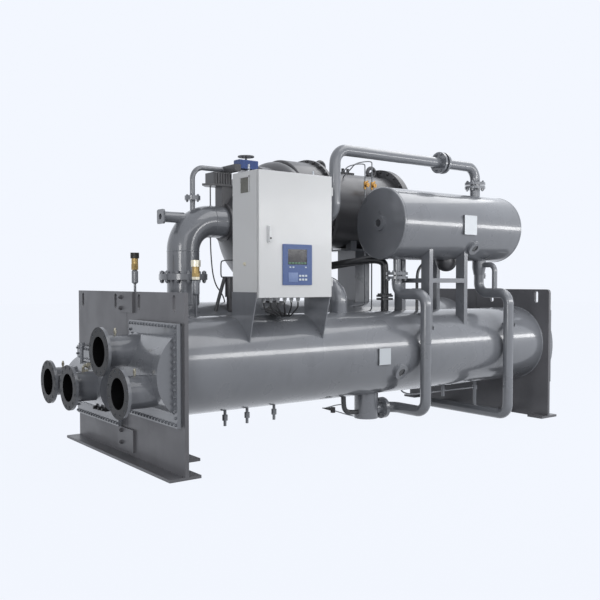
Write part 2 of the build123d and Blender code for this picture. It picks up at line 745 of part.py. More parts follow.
# The door is a folded tray that turns on the two hinge pins.
with BuildPart() as panel_door:
    with BuildSketch(facing_front(DOOR_BACK_Y, PANEL_MIDDLE_X, PANEL_MIDDLE_Z)):
        Rectangle(PANEL_WIDTH - 2 * DOOR_INSET, PANEL_HEIGHT - 2 * DOOR_INSET)
    extrude(amount=DOOR_THICKNESS)
    front_edges = panel_door.faces().sort_by(Axis.Y)[0].edges()
    fillet(front_edges, DOOR_CORNER / 2)
    with BuildSketch(facing_front(DOOR_BACK_Y, PANEL_MIDDLE_X, PANEL_MIDDLE_Z)):
        inset = 2 * DOOR_INSET + 2 * DOOR_SKIN
        Rectangle(PANEL_WIDTH - inset, PANEL_HEIGHT - inset)
    extrude(amount=DOOR_THICKNESS - DOOR_SKIN, mode=Mode.SUBTRACT)
    for level in HINGE_LEVELS:
        with BuildSketch(Plane.XY.offset(level - HINGE_LENGTH / 2)):
            with Locations((HINGE_X, HINGE_Y)):
                Circle(HINGE_KNUCKLE_RADIUS)
            with Locations((PANEL_RIGHT_X - DOOR_INSET - DOOR_SKIN / 2, HINGE_Y)):
                Rectangle(
                    HINGE_OFFSET + DOOR_INSET + DOOR_SKIN / 2,
                    HINGE_LEAF,
                    align=(Align.MIN, Align.CENTER),
                )
            with Locations((HINGE_X, HINGE_Y)):
                Circle(HINGE_PIN_RADIUS + HINGE_CLEARANCE, mode=Mode.SUBTRACT)
        extrude(amount=HINGE_LENGTH / 2 - HINGE_CLEARANCE)
finish(panel_door, "panel_door")

with BuildPart() as door_handle:
    with BuildSketch(facing_front(DOOR_FRONT_Y, HANDLE_X, HANDLE_Z)):
        SlotOverall(HANDLE_PLATE_LENGTH, HANDLE_PLATE_WIDTH, rotation=90)
    extrude(amount=HANDLE_PLATE_THICKNESS)
    with BuildSketch(facing_front(DOOR_FRONT_Y - HANDLE_PLATE_THICKNESS, HANDLE_X, HANDLE_Z)):
        SlotOverall(HANDLE_LENGTH, HANDLE_WIDTH, rotation=90)
    extrude(amount=HANDLE_THICKNESS)
    fillet(door_handle.faces().sort_by(Axis.Y)[0].edges(), HANDLE_THICKNESS / 4)
finish(door_handle, "door_handle")

with BuildPart() as display_bezel:
    with BuildSketch(facing_front(DOOR_FRONT_Y, DISPLAY_X, DISPLAY_Z)):
        RectangleRounded(DISPLAY_WIDTH, DISPLAY_HEIGHT, DISPLAY_CORNER)
    extrude(amount=DISPLAY_THICKNESS)
    with BuildSketch(facing_front(DOOR_FRONT_Y - DISPLAY_THICKNESS, SCREEN_X, SCREEN_Z)):
        Rectangle(SCREEN_WIDTH, SCREEN_HEIGHT)
    extrude(amount=-SCREEN_DEPTH, mode=Mode.SUBTRACT)
finish(display_bezel, "display_bezel")

with BuildPart() as display_screen:
    screen_seat = DOOR_FRONT_Y - DISPLAY_THICKNESS + SCREEN_DEPTH
    with BuildSketch(facing_front(screen_seat, SCREEN_X, SCREEN_Z)):
        Rectangle(SCREEN_WIDTH - 2 * SEAT, SCREEN_HEIGHT - 2 * SEAT)
    extrude(amount=SCREEN_DEPTH / 2)
finish(display_screen, "display_screen")

# Gusset brackets carry the panel on the front shell, one at each side.
with BuildPart() as panel_brackets:
    for bracket_x in (PANEL_LEFT_X - BRACKET_THICKNESS, PANEL_RIGHT_X):
        with BuildSketch(facing_x(bracket_x)):
            Polygon(
                (PANEL_FRONT_Y, PANEL_BOTTOM_Z + BRACKET_LIP),
                (PANEL_FRONT_Y, PANEL_BOTTOM_Z),
                (BRACKET_TIP_Y, BRACKET_TIP_Z),
                (CONDENSER_Y, CONDENSER_Z),
                (PANEL_BACK_Y, CONDENSER_Z),
                (PANEL_BACK_Y, PANEL_BOTTOM_Z + BRACKET_LIP),
                align=None,
            )
        extrude(amount=BRACKET_THICKNESS)
    add(condenser_seat, mode=Mode.SUBTRACT)
finish(panel_brackets, "panel_brackets")

with BuildPart() as cable_glands:
    gland_step = (GLAND_LAST_X - GLAND_FIRST_X) / (GLAND_COUNT - 1)
    for index in range(GLAND_COUNT):
        gland_x = GLAND_FIRST_X + index * gland_step
        with BuildSketch(Plane.XY.offset(PANEL_BOTTOM_Z)):
            with Locations((gland_x, GLAND_Y)):
                RegularPolygon(GLAND_RADIUS, 6)
        extrude(amount=-GLAND_LENGTH / 2)
        with BuildSketch(Plane.XY.offset(PANEL_BOTTOM_Z - GLAND_LENGTH / 2)):
            with Locations((gland_x, GLAND_Y)):
                Circle(GLAND_NUT_RADIUS)
        extrude(amount=-GLAND_LENGTH / 2, taper=GLAND_TAPER)
finish(cable_glands, "cable_glands")

# Suction line: a stub on the rear shell, a bolted joint, and an elbow into the compressor.
with BuildPart() as suction_stub:
    add(
        bent_pipe(
            [
                (SUCTION_X, EVAPORATOR_Y, EVAPORATOR_Z + EVAPORATOR_RADIUS / 2),
                (SUCTION_X, EVAPORATOR_Y, SUCTION_JOINT_Z),
            ],
            0,
            SUCTION_RADIUS,
            SUCTION_WALL,
        )
    )
    add(evaporator_seat, mode=Mode.SUBTRACT)
    add(
        bolted_disc(
            Plane(origin=(SUCTION_X, EVAPORATOR_Y, SUCTION_JOINT_Z - SUCTION_FLANGE_THICKNESS)),
            SUCTION_FLANGE_RADIUS,
            SUCTION_FLANGE_THICKNESS,
            SUCTION_RADIUS - SUCTION_WALL,
            SUCTION_BOLT_RADIUS,
            SUCTION_BOLT_COUNT,
            SUCTION_BOLT_HOLE_RADIUS,
        )
    )
finish(suction_stub, "suction_stub")

with BuildPart() as suction_elbow:
    with BuildSketch(facing_x(PORT_X, EVAPORATOR_Y, PORT_Z)):
        Circle(PORT_RADIUS)
    extrude(amount=SUCTION_X - PORT_X)
    with BuildSketch(facing_x(PORT_X - PORT_FLANGE_THICKNESS, EVAPORATOR_Y, PORT_Z)):
        RectangleRounded(PORT_FLANGE_WIDTH, PORT_FLANGE_WIDTH, PORT_FLANGE_CORNER)
    extrude(amount=PORT_FLANGE_THICKNESS)
    with BuildSketch(facing_x(PORT_X - PORT_FLANGE_THICKNESS, EVAPORATOR_Y, PORT_Z)):
        Circle(PORT_BORE)
    extrude(amount=PORT_RADIUS, mode=Mode.SUBTRACT)
    add(bent_pipe(suction_points, SUCTION_BEND, SUCTION_RADIUS - SUCTION_WALL / 2), mode=Mode.SUBTRACT)
    add(bent_pipe(suction_points, SUCTION_BEND, SUCTION_RADIUS, SUCTION_WALL))
    add(
        bolted_disc(
            Plane(origin=(SUCTION_X, EVAPORATOR_Y, SUCTION_JOINT_Z)),
            SUCTION_FLANGE_RADIUS,
            SUCTION_FLANGE_THICKNESS,
            SUCTION_RADIUS - SUCTION_WALL,
            SUCTION_BOLT_RADIUS,
            SUCTION_BOLT_COUNT,
            SUCTION_BOLT_HOLE_RADIUS,
        )
    )
finish(suction_elbow, "suction_elbow")

# Compressor: inlet cone, first stage, the scroll's ring, gear casing and motor on one line.
with BuildPart() as compressor_housing:
    add(compressor_body(0))
    with BuildSketch(Plane.XY.offset(SCROLL_OUTLET_Z)):
        with Locations((DISCHARGE_X, DISCHARGE_TOP_Y)):
            Circle(SCROLL_OUTLET_RADIUS)
    extrude(amount=SCROLL_OUTLET_TOP_Z - SCROLL_OUTLET_Z)
    with BuildSketch(Plane.XY.offset(SCROLL_OUTLET_Z)):
        with Locations((DISCHARGE_X, DISCHARGE_TOP_Y)):
            Circle(SCROLL_FLANGE_RADIUS)
    extrude(amount=SCROLL_FLANGE_THICKNESS)
    with BuildSketch(Plane.XY.offset(SUCTION_AXIS_Z)):
        with Locations((ACTUATOR_NECK_X + ACTUATOR_NECK_LENGTH / 2, EVAPORATOR_Y)):
            Rectangle(ACTUATOR_NECK_LENGTH, ACTUATOR_NECK_WIDTH)
    extrude(amount=ACTUATOR_SEAT_Z - SUCTION_AXIS_Z)
    with BuildSketch(Plane.XY.offset(ACTUATOR_SEAT_Z)):
        with BuildLine():
            plate_end = ACTUATOR_PLATE_X + ACTUATOR_PLATE_LENGTH
            Polyline(
                (ACTUATOR_PLATE_X, EVAPORATOR_Y),
                (ACTUATOR_BOX_X, EVAPORATOR_Y - ACTUATOR_BOX_WIDTH / 2),
                (plate_end, EVAPORATOR_Y - ACTUATOR_BOX_WIDTH / 2),
                (plate_end, EVAPORATOR_Y + ACTUATOR_BOX_WIDTH / 2),
                (ACTUATOR_BOX_X, EVAPORATOR_Y + ACTUATOR_BOX_WIDTH / 2),
                (ACTUATOR_PLATE_X, EVAPORATOR_Y),
            )
        make_face()
    extrude(amount=ACTUATOR_PLATE_THICKNESS)
    add(suction_bend_seat, mode=Mode.SUBTRACT)
finish(compressor_housing, "compressor_housing")

with BuildPart() as inlet_actuator:
    actuator_base_z = ACTUATOR_SEAT_Z + ACTUATOR_PLATE_THICKNESS
    actuator_height = ACTUATOR_BOX_TOP_Z - actuator_base_z
    with BuildSketch(Plane.XY.offset(actuator_base_z)):
        with Locations((ACTUATOR_BOX_X + ACTUATOR_BOX_LENGTH / 2, EVAPORATOR_Y)):
            Rectangle(ACTUATOR_BOX_LENGTH, ACTUATOR_BOX_WIDTH)
    extrude(amount=actuator_height)
    fillet(inlet_actuator.edges().filter_by(Axis.Z), ACTUATOR_RIB_WIDTH)
    with BuildSketch(Plane.XY.offset(actuator_base_z)):
        with Locations((ACTUATOR_BOX_X + ACTUATOR_BOX_LENGTH / 2, EVAPORATOR_Y)):
            with GridLocations(ACTUATOR_BOX_LENGTH / ACTUATOR_RIB_COUNT, 0, ACTUATOR_RIB_COUNT, 1):
                Rectangle(ACTUATOR_RIB_WIDTH, ACTUATOR_BOX_WIDTH + 2 * ACTUATOR_RIB_WIDTH)
    extrude(amount=actuator_height - ACTUATOR_RIB_WIDTH)
finish(inlet_actuator, "inlet_actuator")

with BuildPart() as gear_casing:
    with BuildSketch(facing_x(GEAR_X - GEAR_HOOD_LENGTH, EVAPORATOR_Y, GEAR_AXIS_Z)):
        Circle(GEAR_RADIUS)
    extrude(amount=GEAR_HOOD_LENGTH + GEAR_LENGTH)
    fillet(gear_casing.edges().filter_by(GeomType.CIRCLE).sort_by(Axis.X)[0], GEAR_HOOD_ROUND)
    add(compressor_seat, mode=Mode.SUBTRACT)
    with BuildSketch(facing_x(GEAR_X + GEAR_LENGTH - CASING_RIM_LENGTH, EVAPORATOR_Y, GEAR_AXIS_Z)):
        Circle(GEAR_RADIUS + CASING_RIM)
    extrude(amount=CASING_RIM_LENGTH)
    with BuildSketch(facing_x(GEAR_X, EVAPORATOR_Y, GEAR_AXIS_Z - GEAR_RADIUS)):
        Rectangle(OIL_SUMP_WIDTH, 2 * OIL_SUMP_DEPTH)
    extrude(amount=GEAR_LENGTH)
finish(gear_casing, "gear_casing")

with BuildPart() as motor_housing:
    with BuildSketch(facing_x(MOTOR_X, EVAPORATOR_Y, MOTOR_AXIS_Z)):
        Circle(MOTOR_RADIUS)
    extrude(amount=MOTOR_LENGTH)
    with BuildSketch(facing_x(MOTOR_X, EVAPORATOR_Y, MOTOR_AXIS_Z)):
        Circle(MOTOR_RADIUS + CASING_RIM)
    extrude(amount=CASING_RIM_LENGTH)
finish(motor_housing, "motor_housing")

MOTOR_END_X = MOTOR_X + MOTOR_LENGTH
with BuildPart() as motor_end_cover:
    with BuildSketch(facing_x(MOTOR_END_X, EVAPORATOR_Y, MOTOR_AXIS_Z)):
        Circle(MOTOR_END_RADIUS)
    extrude(amount=MOTOR_END_LENGTH)
    with BuildSketch(facing_x(MOTOR_END_X + MOTOR_END_LENGTH, EVAPORATOR_Y, MOTOR_AXIS_Z)):
        Circle(MOTOR_CAP_RADIUS)
    extrude(amount=MOTOR_CAP_LENGTH)
    fillet(motor_end_cover.edges().filter_by(GeomType.CIRCLE).sort_by(Axis.X)[-1], MOTOR_CAP_ROUND)
finish(motor_end_cover, "motor_end_cover")

# Two lifting eyes are welded to the crown of the motor.
with BuildPart() as lifting_eyes:
    eye_z = MOTOR_AXIS_Z + MOTOR_RADIUS + EYE_RISE
    for eye_x in (NEAR_EYE_X, FAR_EYE_X):
        with BuildSketch(Plane(origin=(eye_x + EYE_RADIUS, EVAPORATOR_Y, eye_z))):
            Circle(EYE_BAR_RADIUS)
        revolve(axis=Axis((eye_x, EVAPORATOR_Y, eye_z), (0, 1, 0)))
    add(motor_seat, mode=Mode.SUBTRACT)
finish(lifting_eyes, "lifting_eyes")

with BuildPart() as motor_terminals:
    terminal_base_z = MOTOR_AXIS_Z + MOTOR_RADIUS / 2
    with BuildSketch(Plane(origin=(TERMINAL_X, EVAPORATOR_Y, terminal_base_z))):
        Rectangle(TERMINAL_PLATE_LENGTH, TERMINAL_PLATE_WIDTH)
    extrude(amount=MOTOR_RADIUS / 2 + TERMINAL_PLATE_RISE)
    with BuildSketch(Plane(origin=(TERMINAL_X, EVAPORATOR_Y, MOTOR_AXIS_Z + MOTOR_RADIUS))):
        with GridLocations(TERMINAL_PITCH, TERMINAL_PITCH, 3, 2):
            Circle(TERMINAL_RADIUS)
    extrude(amount=TERMINAL_HEIGHT)
    add(motor_seat, mode=Mode.SUBTRACT)
finish(motor_terminals, "motor_terminals")

# Pedestals carry the compressor and the motor on the rear shell.
SUPPORT_START_Z = EVAPORATOR_Z + EVAPORATOR_RADIUS / 2
with BuildPart() as compressor_support:
    with BuildSketch(Plane.XY.offset(SUPPORT_START_Z)):
        with Locations((PEDESTAL_X, EVAPORATOR_Y)):
            Rectangle(PEDESTAL_LENGTH, PEDESTAL_WIDTH)
    extrude(amount=SUCTION_AXIS_Z - SUCTION_RADIUS - SUPPORT_START_Z)
    add(compressor_seat, mode=Mode.SUBTRACT)
    add(evaporator_seat, mode=Mode.SUBTRACT)
finish(compressor_support, "compressor_support")

with BuildPart() as motor_support:
    with BuildSketch(Plane.XY.offset(SUPPORT_START_Z)):
        with Locations((COLUMN_X, EVAPORATOR_Y)):
            Rectangle(COLUMN_LENGTH, COLUMN_WIDTH)
    extrude(amount=MOTOR_BASE_Z - SUPPORT_START_Z)
    add(evaporator_seat, mode=Mode.SUBTRACT)
    with BuildSketch(Plane.XY.offset(MOTOR_BASE_Z)):
        with Locations((COLUMN_X, EVAPORATOR_Y)):
            Rectangle(MOTOR_BASE_LENGTH, MOTOR_BASE_WIDTH)
    extrude(amount=MOTOR_BASE_THICKNESS)
    with BuildSketch(Plane.XY.offset(MOTOR_BASE_Z + MOTOR_BASE_THICKNESS)):
        with Locations((COLUMN_X, EVAPORATOR_Y)):
            with GridLocations(MOTOR_BASE_LENGTH - MOTOR_FOOT, MOTOR_BASE_WIDTH - MOTOR_FOOT, 2, 2):
                Rectangle(MOTOR_FOOT, MOTOR_FOOT)
    extrude(amount=MOTOR_RADIUS)
    add(motor_seat, mode=Mode.SUBTRACT)
finish(motor_support, "motor_support")

# Economizer: a vessel with flat ends, above the front shell on four channel legs.
with BuildPart() as economizer_shell:
    add(
        shell_tube(
            ECONOMIZER_X + ECONOMIZER_END,
            ECONOMIZER_Y,
            ECONOMIZER_Z,
            ECONOMIZER_RADIUS,
            ECONOMIZER_WALL,
            ECONOMIZER_LENGTH - 2 * ECONOMIZER_END,
        )
    )
finish(economizer_shell, "economizer_shell")

with BuildPart() as economizer_ends:
    with BuildSketch(facing_x(ECONOMIZER_X, ECONOMIZER_Y, ECONOMIZER_Z)):
        Circle(ECONOMIZER_RADIUS)
    extrude(amount=ECONOMIZER_END)
    fillet(economizer_ends.edges().filter_by(GeomType.CIRCLE).sort_by(Axis.X)[0], ECONOMIZER_END / 2)
    mirror(about=Plane.YZ.offset(ECONOMIZER_X + ECONOMIZER_LENGTH / 2))
finish(economizer_ends, "economizer_ends")

with BuildPart() as economizer_legs:
    for leg_x in (LEG_FIRST_X, LEG_SECOND_X):
        for side in (-1, 1):
            leg_y = ECONOMIZER_Y + side * LEG_SPREAD
            with BuildSketch(Plane.XY.offset(CONDENSER_Z)):
                with Locations((leg_x, leg_y)):
                    Rectangle(LEG_WIDTH, LEG_DEPTH, align=(Align.MIN, Align.CENTER))
                with Locations((leg_x + LEG_WALL, leg_y)):
                    Rectangle(
                        LEG_WIDTH,
                        LEG_DEPTH - 2 * LEG_WALL,
                        align=(Align.MIN, Align.CENTER),
                        mode=Mode.SUBTRACT,
                    )
            extrude(amount=ECONOMIZER_Z - CONDENSER_Z)
        with BuildSketch(Plane.XY.offset(LEG_BAR_Z)):
            with Locations((leg_x, ECONOMIZER_Y)):
                Rectangle(LEG_WALL, 2 * LEG_SPREAD, align=(Align.MIN, Align.CENTER))
        extrude(amount=LEG_BAR_HEIGHT)
    for side in (-1, 1):
        bar_y = ECONOMIZER_Y + side * (LEG_SPREAD + LEG_DEPTH / 2)
        with BuildSketch(Plane.XY.offset(LEG_BAR_Z)):
            with Locations((LEG_FIRST_X + LEG_WIDTH / 2, bar_y)):
                Rectangle(
                    LEG_SECOND_X - LEG_FIRST_X,
                    LEG_WALL,
                    align=(Align.MIN, Align.MIN if side < 0 else Align.MAX),
                )
        extrude(amount=LEG_BAR_HEIGHT)
    add(condenser_seat, mode=Mode.SUBTRACT)
    add(economizer_seat, mode=Mode.SUBTRACT)
finish(economizer_legs, "economizer_legs")


# Gas pipe from the economizer to the compressor, in two lengths.
def gas_flange(plane):
    """A flange on the gas pipe, on the plane of its face and behind it."""
    bore = GAS_PIPE_RADIUS - GAS_PIPE_WALL
    return bolted_disc(plane, GAS_FLANGE_RADIUS, GAS_FLANGE_THICKNESS, bore)


with BuildPart() as gas_pipes:
    add(
        bent_pipe(
            [
                (GAS_RISER_X, ECONOMIZER_Y, ECONOMIZER_Z + ECONOMIZER_RADIUS / 2),
                (GAS_RISER_X, ECONOMIZER_Y, GAS_PIPE_Z),
                (GAS_JOINT_X + GAS_FLANGE_GAP, ECONOMIZER_Y, GAS_PIPE_Z),
            ],
            GAS_PIPE_BEND,
            GAS_PIPE_RADIUS,
            GAS_PIPE_WALL,
        )
    )
    add(
        bent_pipe(
            [
                (GAS_JOINT_X - GAS_FLANGE_GAP, ECONOMIZER_Y, GAS_PIPE_Z),
                (GAS_DROP_X, ECONOMIZER_Y, GAS_PIPE_Z),
                (GAS_DROP_X, ECONOMIZER_Y, SUCTION_AXIS_Z),
                (GAS_DROP_X, EVAPORATOR_Y - VOLUTE_RADIUS / 2, SUCTION_AXIS_Z),
            ],
            GAS_PIPE_BEND,
            GAS_PIPE_RADIUS,
            GAS_PIPE_WALL,
        )
    )
    for side in (-1, 1):
        joint_x = GAS_JOINT_X + side * GAS_FLANGE_GAP
        add(gas_flange(Plane(origin=(joint_x, ECONOMIZER_Y, GAS_PIPE_Z), z_dir=(side, 0, 0))))
        joint_z = GAS_RISER_JOINT_Z + side * GAS_FLANGE_GAP / 2
        add(gas_flange(Plane(origin=(GAS_RISER_X, ECONOMIZER_Y, joint_z), z_dir=(0, 0, side))))
    add(economizer_seat, mode=Mode.SUBTRACT)
    add(compressor_seat, mode=Mode.SUBTRACT)
finish(gas_pipes, "gas_pipes")

# Discharge pipe from the volute down to the top of the front shell.
with BuildPart() as discharge_pipe:
    add(
        bent_pipe(
            [
                (DISCHARGE_X, DISCHARGE_TOP_Y, SCROLL_OUTLET_Z),
                (DISCHARGE_X, DISCHARGE_TOP_Y, DISCHARGE_Z),
                (DISCHARGE_X, CONDENSER_Y, DISCHARGE_Z),
                (DISCHARGE_X, CONDENSER_Y, CONDENSER_Z + CONDENSER_RADIUS / 2),
            ],
            DISCHARGE_BEND,
            DISCHARGE_RADIUS,
            DISCHARGE_WALL,
        )
    )
    add(
        bolted_disc(
            Plane(origin=(DISCHARGE_X, DISCHARGE_TOP_Y, SCROLL_OUTLET_Z - SCROLL_FLANGE_THICKNESS)),
            SCROLL_FLANGE_RADIUS,
            SCROLL_FLANGE_THICKNESS,
            DISCHARGE_RADIUS - DISCHARGE_WALL,
        )
    )
    add(compressor_seat, mode=Mode.SUBTRACT)
    add(condenser_seat, mode=Mode.SUBTRACT)
finish(discharge_pipe, "discharge_pipe")

# Liquid pipe from the sump valve, up the front and into the bottom of the economizer.
LIQUID_X = ECONOMIZER_X + LIQUID_OFFSET
FEED_X = ECONOMIZER_X + FEED_OFFSET
ECONOMIZER_BOTTOM_Z = ECONOMIZER_Z - ECONOMIZER_RADIUS
FEED_BODY_Z = ECONOMIZER_BOTTOM_Z - FEED_BODY_DROP
FEED_TAPER_Z = FEED_BODY_Z - FEED_TAPER_LENGTH
BYPASS_Z = ECONOMIZER_BOTTOM_Z - BYPASS_DROP
SUMP_JOINT_X = LIQUID_X - LIQUID_PIPE_BEND - LIQUID_LEAD
with BuildPart() as liquid_pipe_front:
    add(
        bent_pipe(
            [
                (SUMP_JOINT_X, CONDENSER_Y, LIQUID_LOW_Z),
                (LIQUID_X, CONDENSER_Y, LIQUID_LOW_Z),
                (LIQUID_X, LIQUID_FRONT_Y, LIQUID_LOW_Z),
                (LIQUID_X, LIQUID_FRONT_Y, LIQUID_HIGH_Z),
                (LIQUID_X, ECONOMIZER_Y, LIQUID_HIGH_Z),
                (LIQUID_X, ECONOMIZER_Y, LIQUID_JOINT_Z + GAS_FLANGE_THICKNESS),
            ],
            LIQUID_PIPE_BEND,
            LIQUID_PIPE_RADIUS,
            LIQUID_PIPE_WALL,
        )
    )
    for joint_z in (LIQUID_JOINT_Z, LIQUID_JOINT_Z + GAS_FLANGE_THICKNESS + GAS_FLANGE_GAP):
        with BuildSketch(Plane(origin=(LIQUID_X, ECONOMIZER_Y, joint_z))):
            Circle(GAS_FLANGE_RADIUS)
        extrude(amount=GAS_FLANGE_THICKNESS)
    with BuildSketch(Plane(origin=(LIQUID_X, ECONOMIZER_Y, LIQUID_JOINT_Z + GAS_FLANGE_THICKNESS))):
        Circle(LIQUID_NECK_RADIUS)
    extrude(amount=ECONOMIZER_Z - LIQUID_JOINT_Z - ECONOMIZER_RADIUS / 2)
    add(economizer_seat, mode=Mode.SUBTRACT)
finish(liquid_pipe_front, "liquid_pipe_front")

with BuildPart() as feed_pipe:
    add(
        bent_pipe(
            [
                (FEED_X, ECONOMIZER_Y, ECONOMIZER_Z - ECONOMIZER_RADIUS / 2),
                (FEED_X, ECONOMIZER_Y, LIQUID_HIGH_Z),
                (FEED_X, LIQUID_FRONT_Y, LIQUID_HIGH_Z),
                (FEED_X, LIQUID_FRONT_Y, FEED_LOW_Z),
                (FEED_X, FEED_END_Y, FEED_LOW_Z),
                (FEED_X, FEED_END_Y, EVAPORATOR_Z - EVAPORATOR_RADIUS / 2),
            ],
            LIQUID_PIPE_BEND,
            LIQUID_PIPE_RADIUS,
            LIQUID_PIPE_WALL,
        )
    )
    with BuildSketch(Plane(origin=(FEED_X, ECONOMIZER_Y, FEED_BODY_Z))):
        Circle(FEED_BODY_RADIUS)
    extrude(amount=ECONOMIZER_Z - FEED_BODY_Z - ECONOMIZER_RADIUS / 2)
    with BuildSketch(Plane(origin=(FEED_X, ECONOMIZER_Y, FEED_BODY_Z))):
        Circle(FEED_BODY_RADIUS)
    with BuildSketch(Plane(origin=(FEED_X, ECONOMIZER_Y, FEED_TAPER_Z))):
        Circle(FEED_TAPER_RADIUS)
    loft()
    add(economizer_seat, mode=Mode.SUBTRACT)
    add(evaporator_seat, mode=Mode.SUBTRACT)
finish(feed_pipe, "feed_pipe")

with BuildPart() as bypass_pipe:
    add(
        bent_pipe(
            [
                (FEED_X, ECONOMIZER_Y, BYPASS_Z),
                (FEED_X, BYPASS_Y, BYPASS_Z),
                (FEED_X, BYPASS_Y, LIQUID_HIGH_Z),
            ],
            BYPASS_BEND,
            BYPASS_RADIUS,
            BYPASS_WALL,
        )
    )
    with BuildSketch(Plane(origin=(FEED_X, ECONOMIZER_Y, FEED_TAPER_Z))):
        Circle(FEED_BODY_RADIUS + SEAT)
    extrude(amount=ECONOMIZER_Z - FEED_TAPER_Z, mode=Mode.SUBTRACT)
    with BuildSketch(facing_front(ECONOMIZER_Y, FEED_X, LIQUID_HIGH_Z)):
        Circle(LIQUID_PIPE_RADIUS + SEAT)
    extrude(amount=ECONOMIZER_Y - LIQUID_FRONT_Y, mode=Mode.SUBTRACT)
finish(bypass_pipe, "bypass_pipe")

# Sump under the front shell, with a bolted joint to the liquid pipe.
SUMP_X = SUMP_JOINT_X - 2 * SUMP_FLANGE_THICKNESS - SUMP_STUB - SUMP_RADIUS
with BuildPart() as condenser_sump:
    with BuildSketch(Plane(origin=(SUMP_X, CONDENSER_Y, SUMP_BOTTOM_Z))):
        Circle(SUMP_RADIUS)
    extrude(amount=CONDENSER_Z - CONDENSER_RADIUS / 2 - SUMP_BOTTOM_Z)
    with BuildSketch(facing_x(SUMP_X, CONDENSER_Y, LIQUID_LOW_Z)):
        Circle(LIQUID_PIPE_RADIUS)
    extrude(amount=SUMP_RADIUS + SUMP_STUB)
    with BuildSketch(facing_x(SUMP_X + SUMP_RADIUS + SUMP_STUB, CONDENSER_Y, LIQUID_LOW_Z)):
        Circle(SUMP_FLANGE_RADIUS)
    extrude(amount=2 * SUMP_FLANGE_THICKNESS)
    add(condenser_seat, mode=Mode.SUBTRACT)
finish(condenser_sump, "condenser_sump")

# Equalizing pipe from the elbow to the bypass valve beside the compressor's first stage.
with BuildPart() as equalizing_pipe:
    add(
        bent_pipe(
            [
                (EQUALIZING_X, EVAPORATOR_Y, SUCTION_AXIS_Z),
                (EQUALIZING_X, EVAPORATOR_Y, EQUALIZING_Z),
                (VALVE_BLOCK_X, EVAPORATOR_Y, EQUALIZING_Z),
            ],
            EQUALIZING_BEND,
            EQUALIZING_RADIUS,
            EQUALIZING_WALL,
        )
    )
    with BuildSketch(Plane(origin=(EQUALIZING_X, EVAPORATOR_Y, EQUALIZING_JOINT_Z))):
        Circle(EQUALIZING_FLANGE_RADIUS)
        Circle(EQUALIZING_RADIUS - EQUALIZING_WALL, mode=Mode.SUBTRACT)
    extrude(amount=EQUALIZING_FLANGE_THICKNESS, both=True)
    add(suction_bend_seat, mode=Mode.SUBTRACT)
finish(equalizing_pipe, "equalizing_pipe")

VALVE_BLOCK_END_X = VALVE_BLOCK_X + VALVE_BLOCK_LENGTH
with BuildPart() as bypass_valve:
    with BuildSketch(Plane(origin=(VALVE_BLOCK_X, EVAPORATOR_Y + PORT_RADIUS, EQUALIZING_Z))):
        Rectangle(VALVE_BLOCK_LENGTH, VALVE_BLOCK_WIDTH, align=(Align.MIN, Align.MAX))
    extrude(amount=VALVE_BLOCK_HEIGHT / 2, both=True)
    add(compressor_seat, mode=Mode.SUBTRACT)
    valve_top_z = EQUALIZING_Z + VALVE_ACTUATOR_HEIGHT
    handwheel_x = VALVE_BLOCK_END_X + VALVE_ACTUATOR_LENGTH / 2
    with BuildSketch(Plane(origin=(handwheel_x, VALVE_ACTUATOR_Y, valve_top_z))):
        Circle(VALVE_STEM_RADIUS)
    extrude(amount=HANDWHEEL_Z - valve_top_z)
    with BuildSketch(Plane(origin=(handwheel_x, VALVE_ACTUATOR_Y, HANDWHEEL_Z))):
        Circle(HANDWHEEL_RADIUS)
        Circle(HANDWHEEL_RADIUS - HANDWHEEL_RIM, mode=Mode.SUBTRACT)
        Circle(2 * VALVE_STEM_RADIUS)
        with PolarLocations(0, HANDWHEEL_SPOKES):
            spoke_length = HANDWHEEL_RADIUS - VALVE_STEM_RADIUS
            Rectangle(spoke_length, HANDWHEEL_RIM, align=(Align.MIN, Align.CENTER))
    extrude(amount=HANDWHEEL_THICKNESS)
finish(bypass_valve, "bypass_valve")

with BuildPart() as valve_actuator:
    with BuildSketch(Plane(origin=(VALVE_BLOCK_END_X, VALVE_ACTUATOR_Y, EQUALIZING_Z))):
        Rectangle(VALVE_ACTUATOR_LENGTH, VALVE_ACTUATOR_WIDTH, align=(Align.MIN, Align.CENTER))
    extrude(amount=VALVE_ACTUATOR_HEIGHT)
    fillet(valve_actuator.edges().filter_by(Axis.X).group_by(Axis.Z)[-1], VALVE_STEM_RADIUS)
    add(compressor_seat, mode=Mode.SUBTRACT)
finish(valve_actuator, "valve_actuator")

# Relief valves on the two shells: a grey body on a thin stem, then a brass bonnet and cap.
RELIEF_SITES = (
    (CONDENSER_RELIEF_X, CONDENSER_Y, CONDENSER_Z, CONDENSER_RELIEF_BODY_Z),
    (EVAPORATOR_RELIEF_X, EVAPORATOR_Y, EVAPORATOR_Z, EVAPORATOR_RELIEF_BODY_Z),
)
with BuildPart() as relief_valve_bodies:
    for x, y, shell_z, body_z in RELIEF_SITES:
        with BuildSketch(Plane(origin=(x, y, shell_z))):
            Circle(RELIEF_STEM_RADIUS)
        extrude(amount=body_z - shell_z)
        with BuildSketch(Plane(origin=(x, y, body_z))):
            Circle(RELIEF_BODY_RADIUS)
        extrude(amount=RELIEF_BODY_HEIGHT)
    bottom_rims = relief_valve_bodies.edges().filter_by(GeomType.CIRCLE)
    bottom_rims = bottom_rims.filter_by(lambda e: e.radius == RELIEF_BODY_RADIUS)
    chamfer(bottom_rims, RELIEF_STEM_RADIUS)
    add(condenser_seat, mode=Mode.SUBTRACT)
    add(evaporator_seat, mode=Mode.SUBTRACT)
finish(relief_valve_bodies, "relief_valve_bodies")

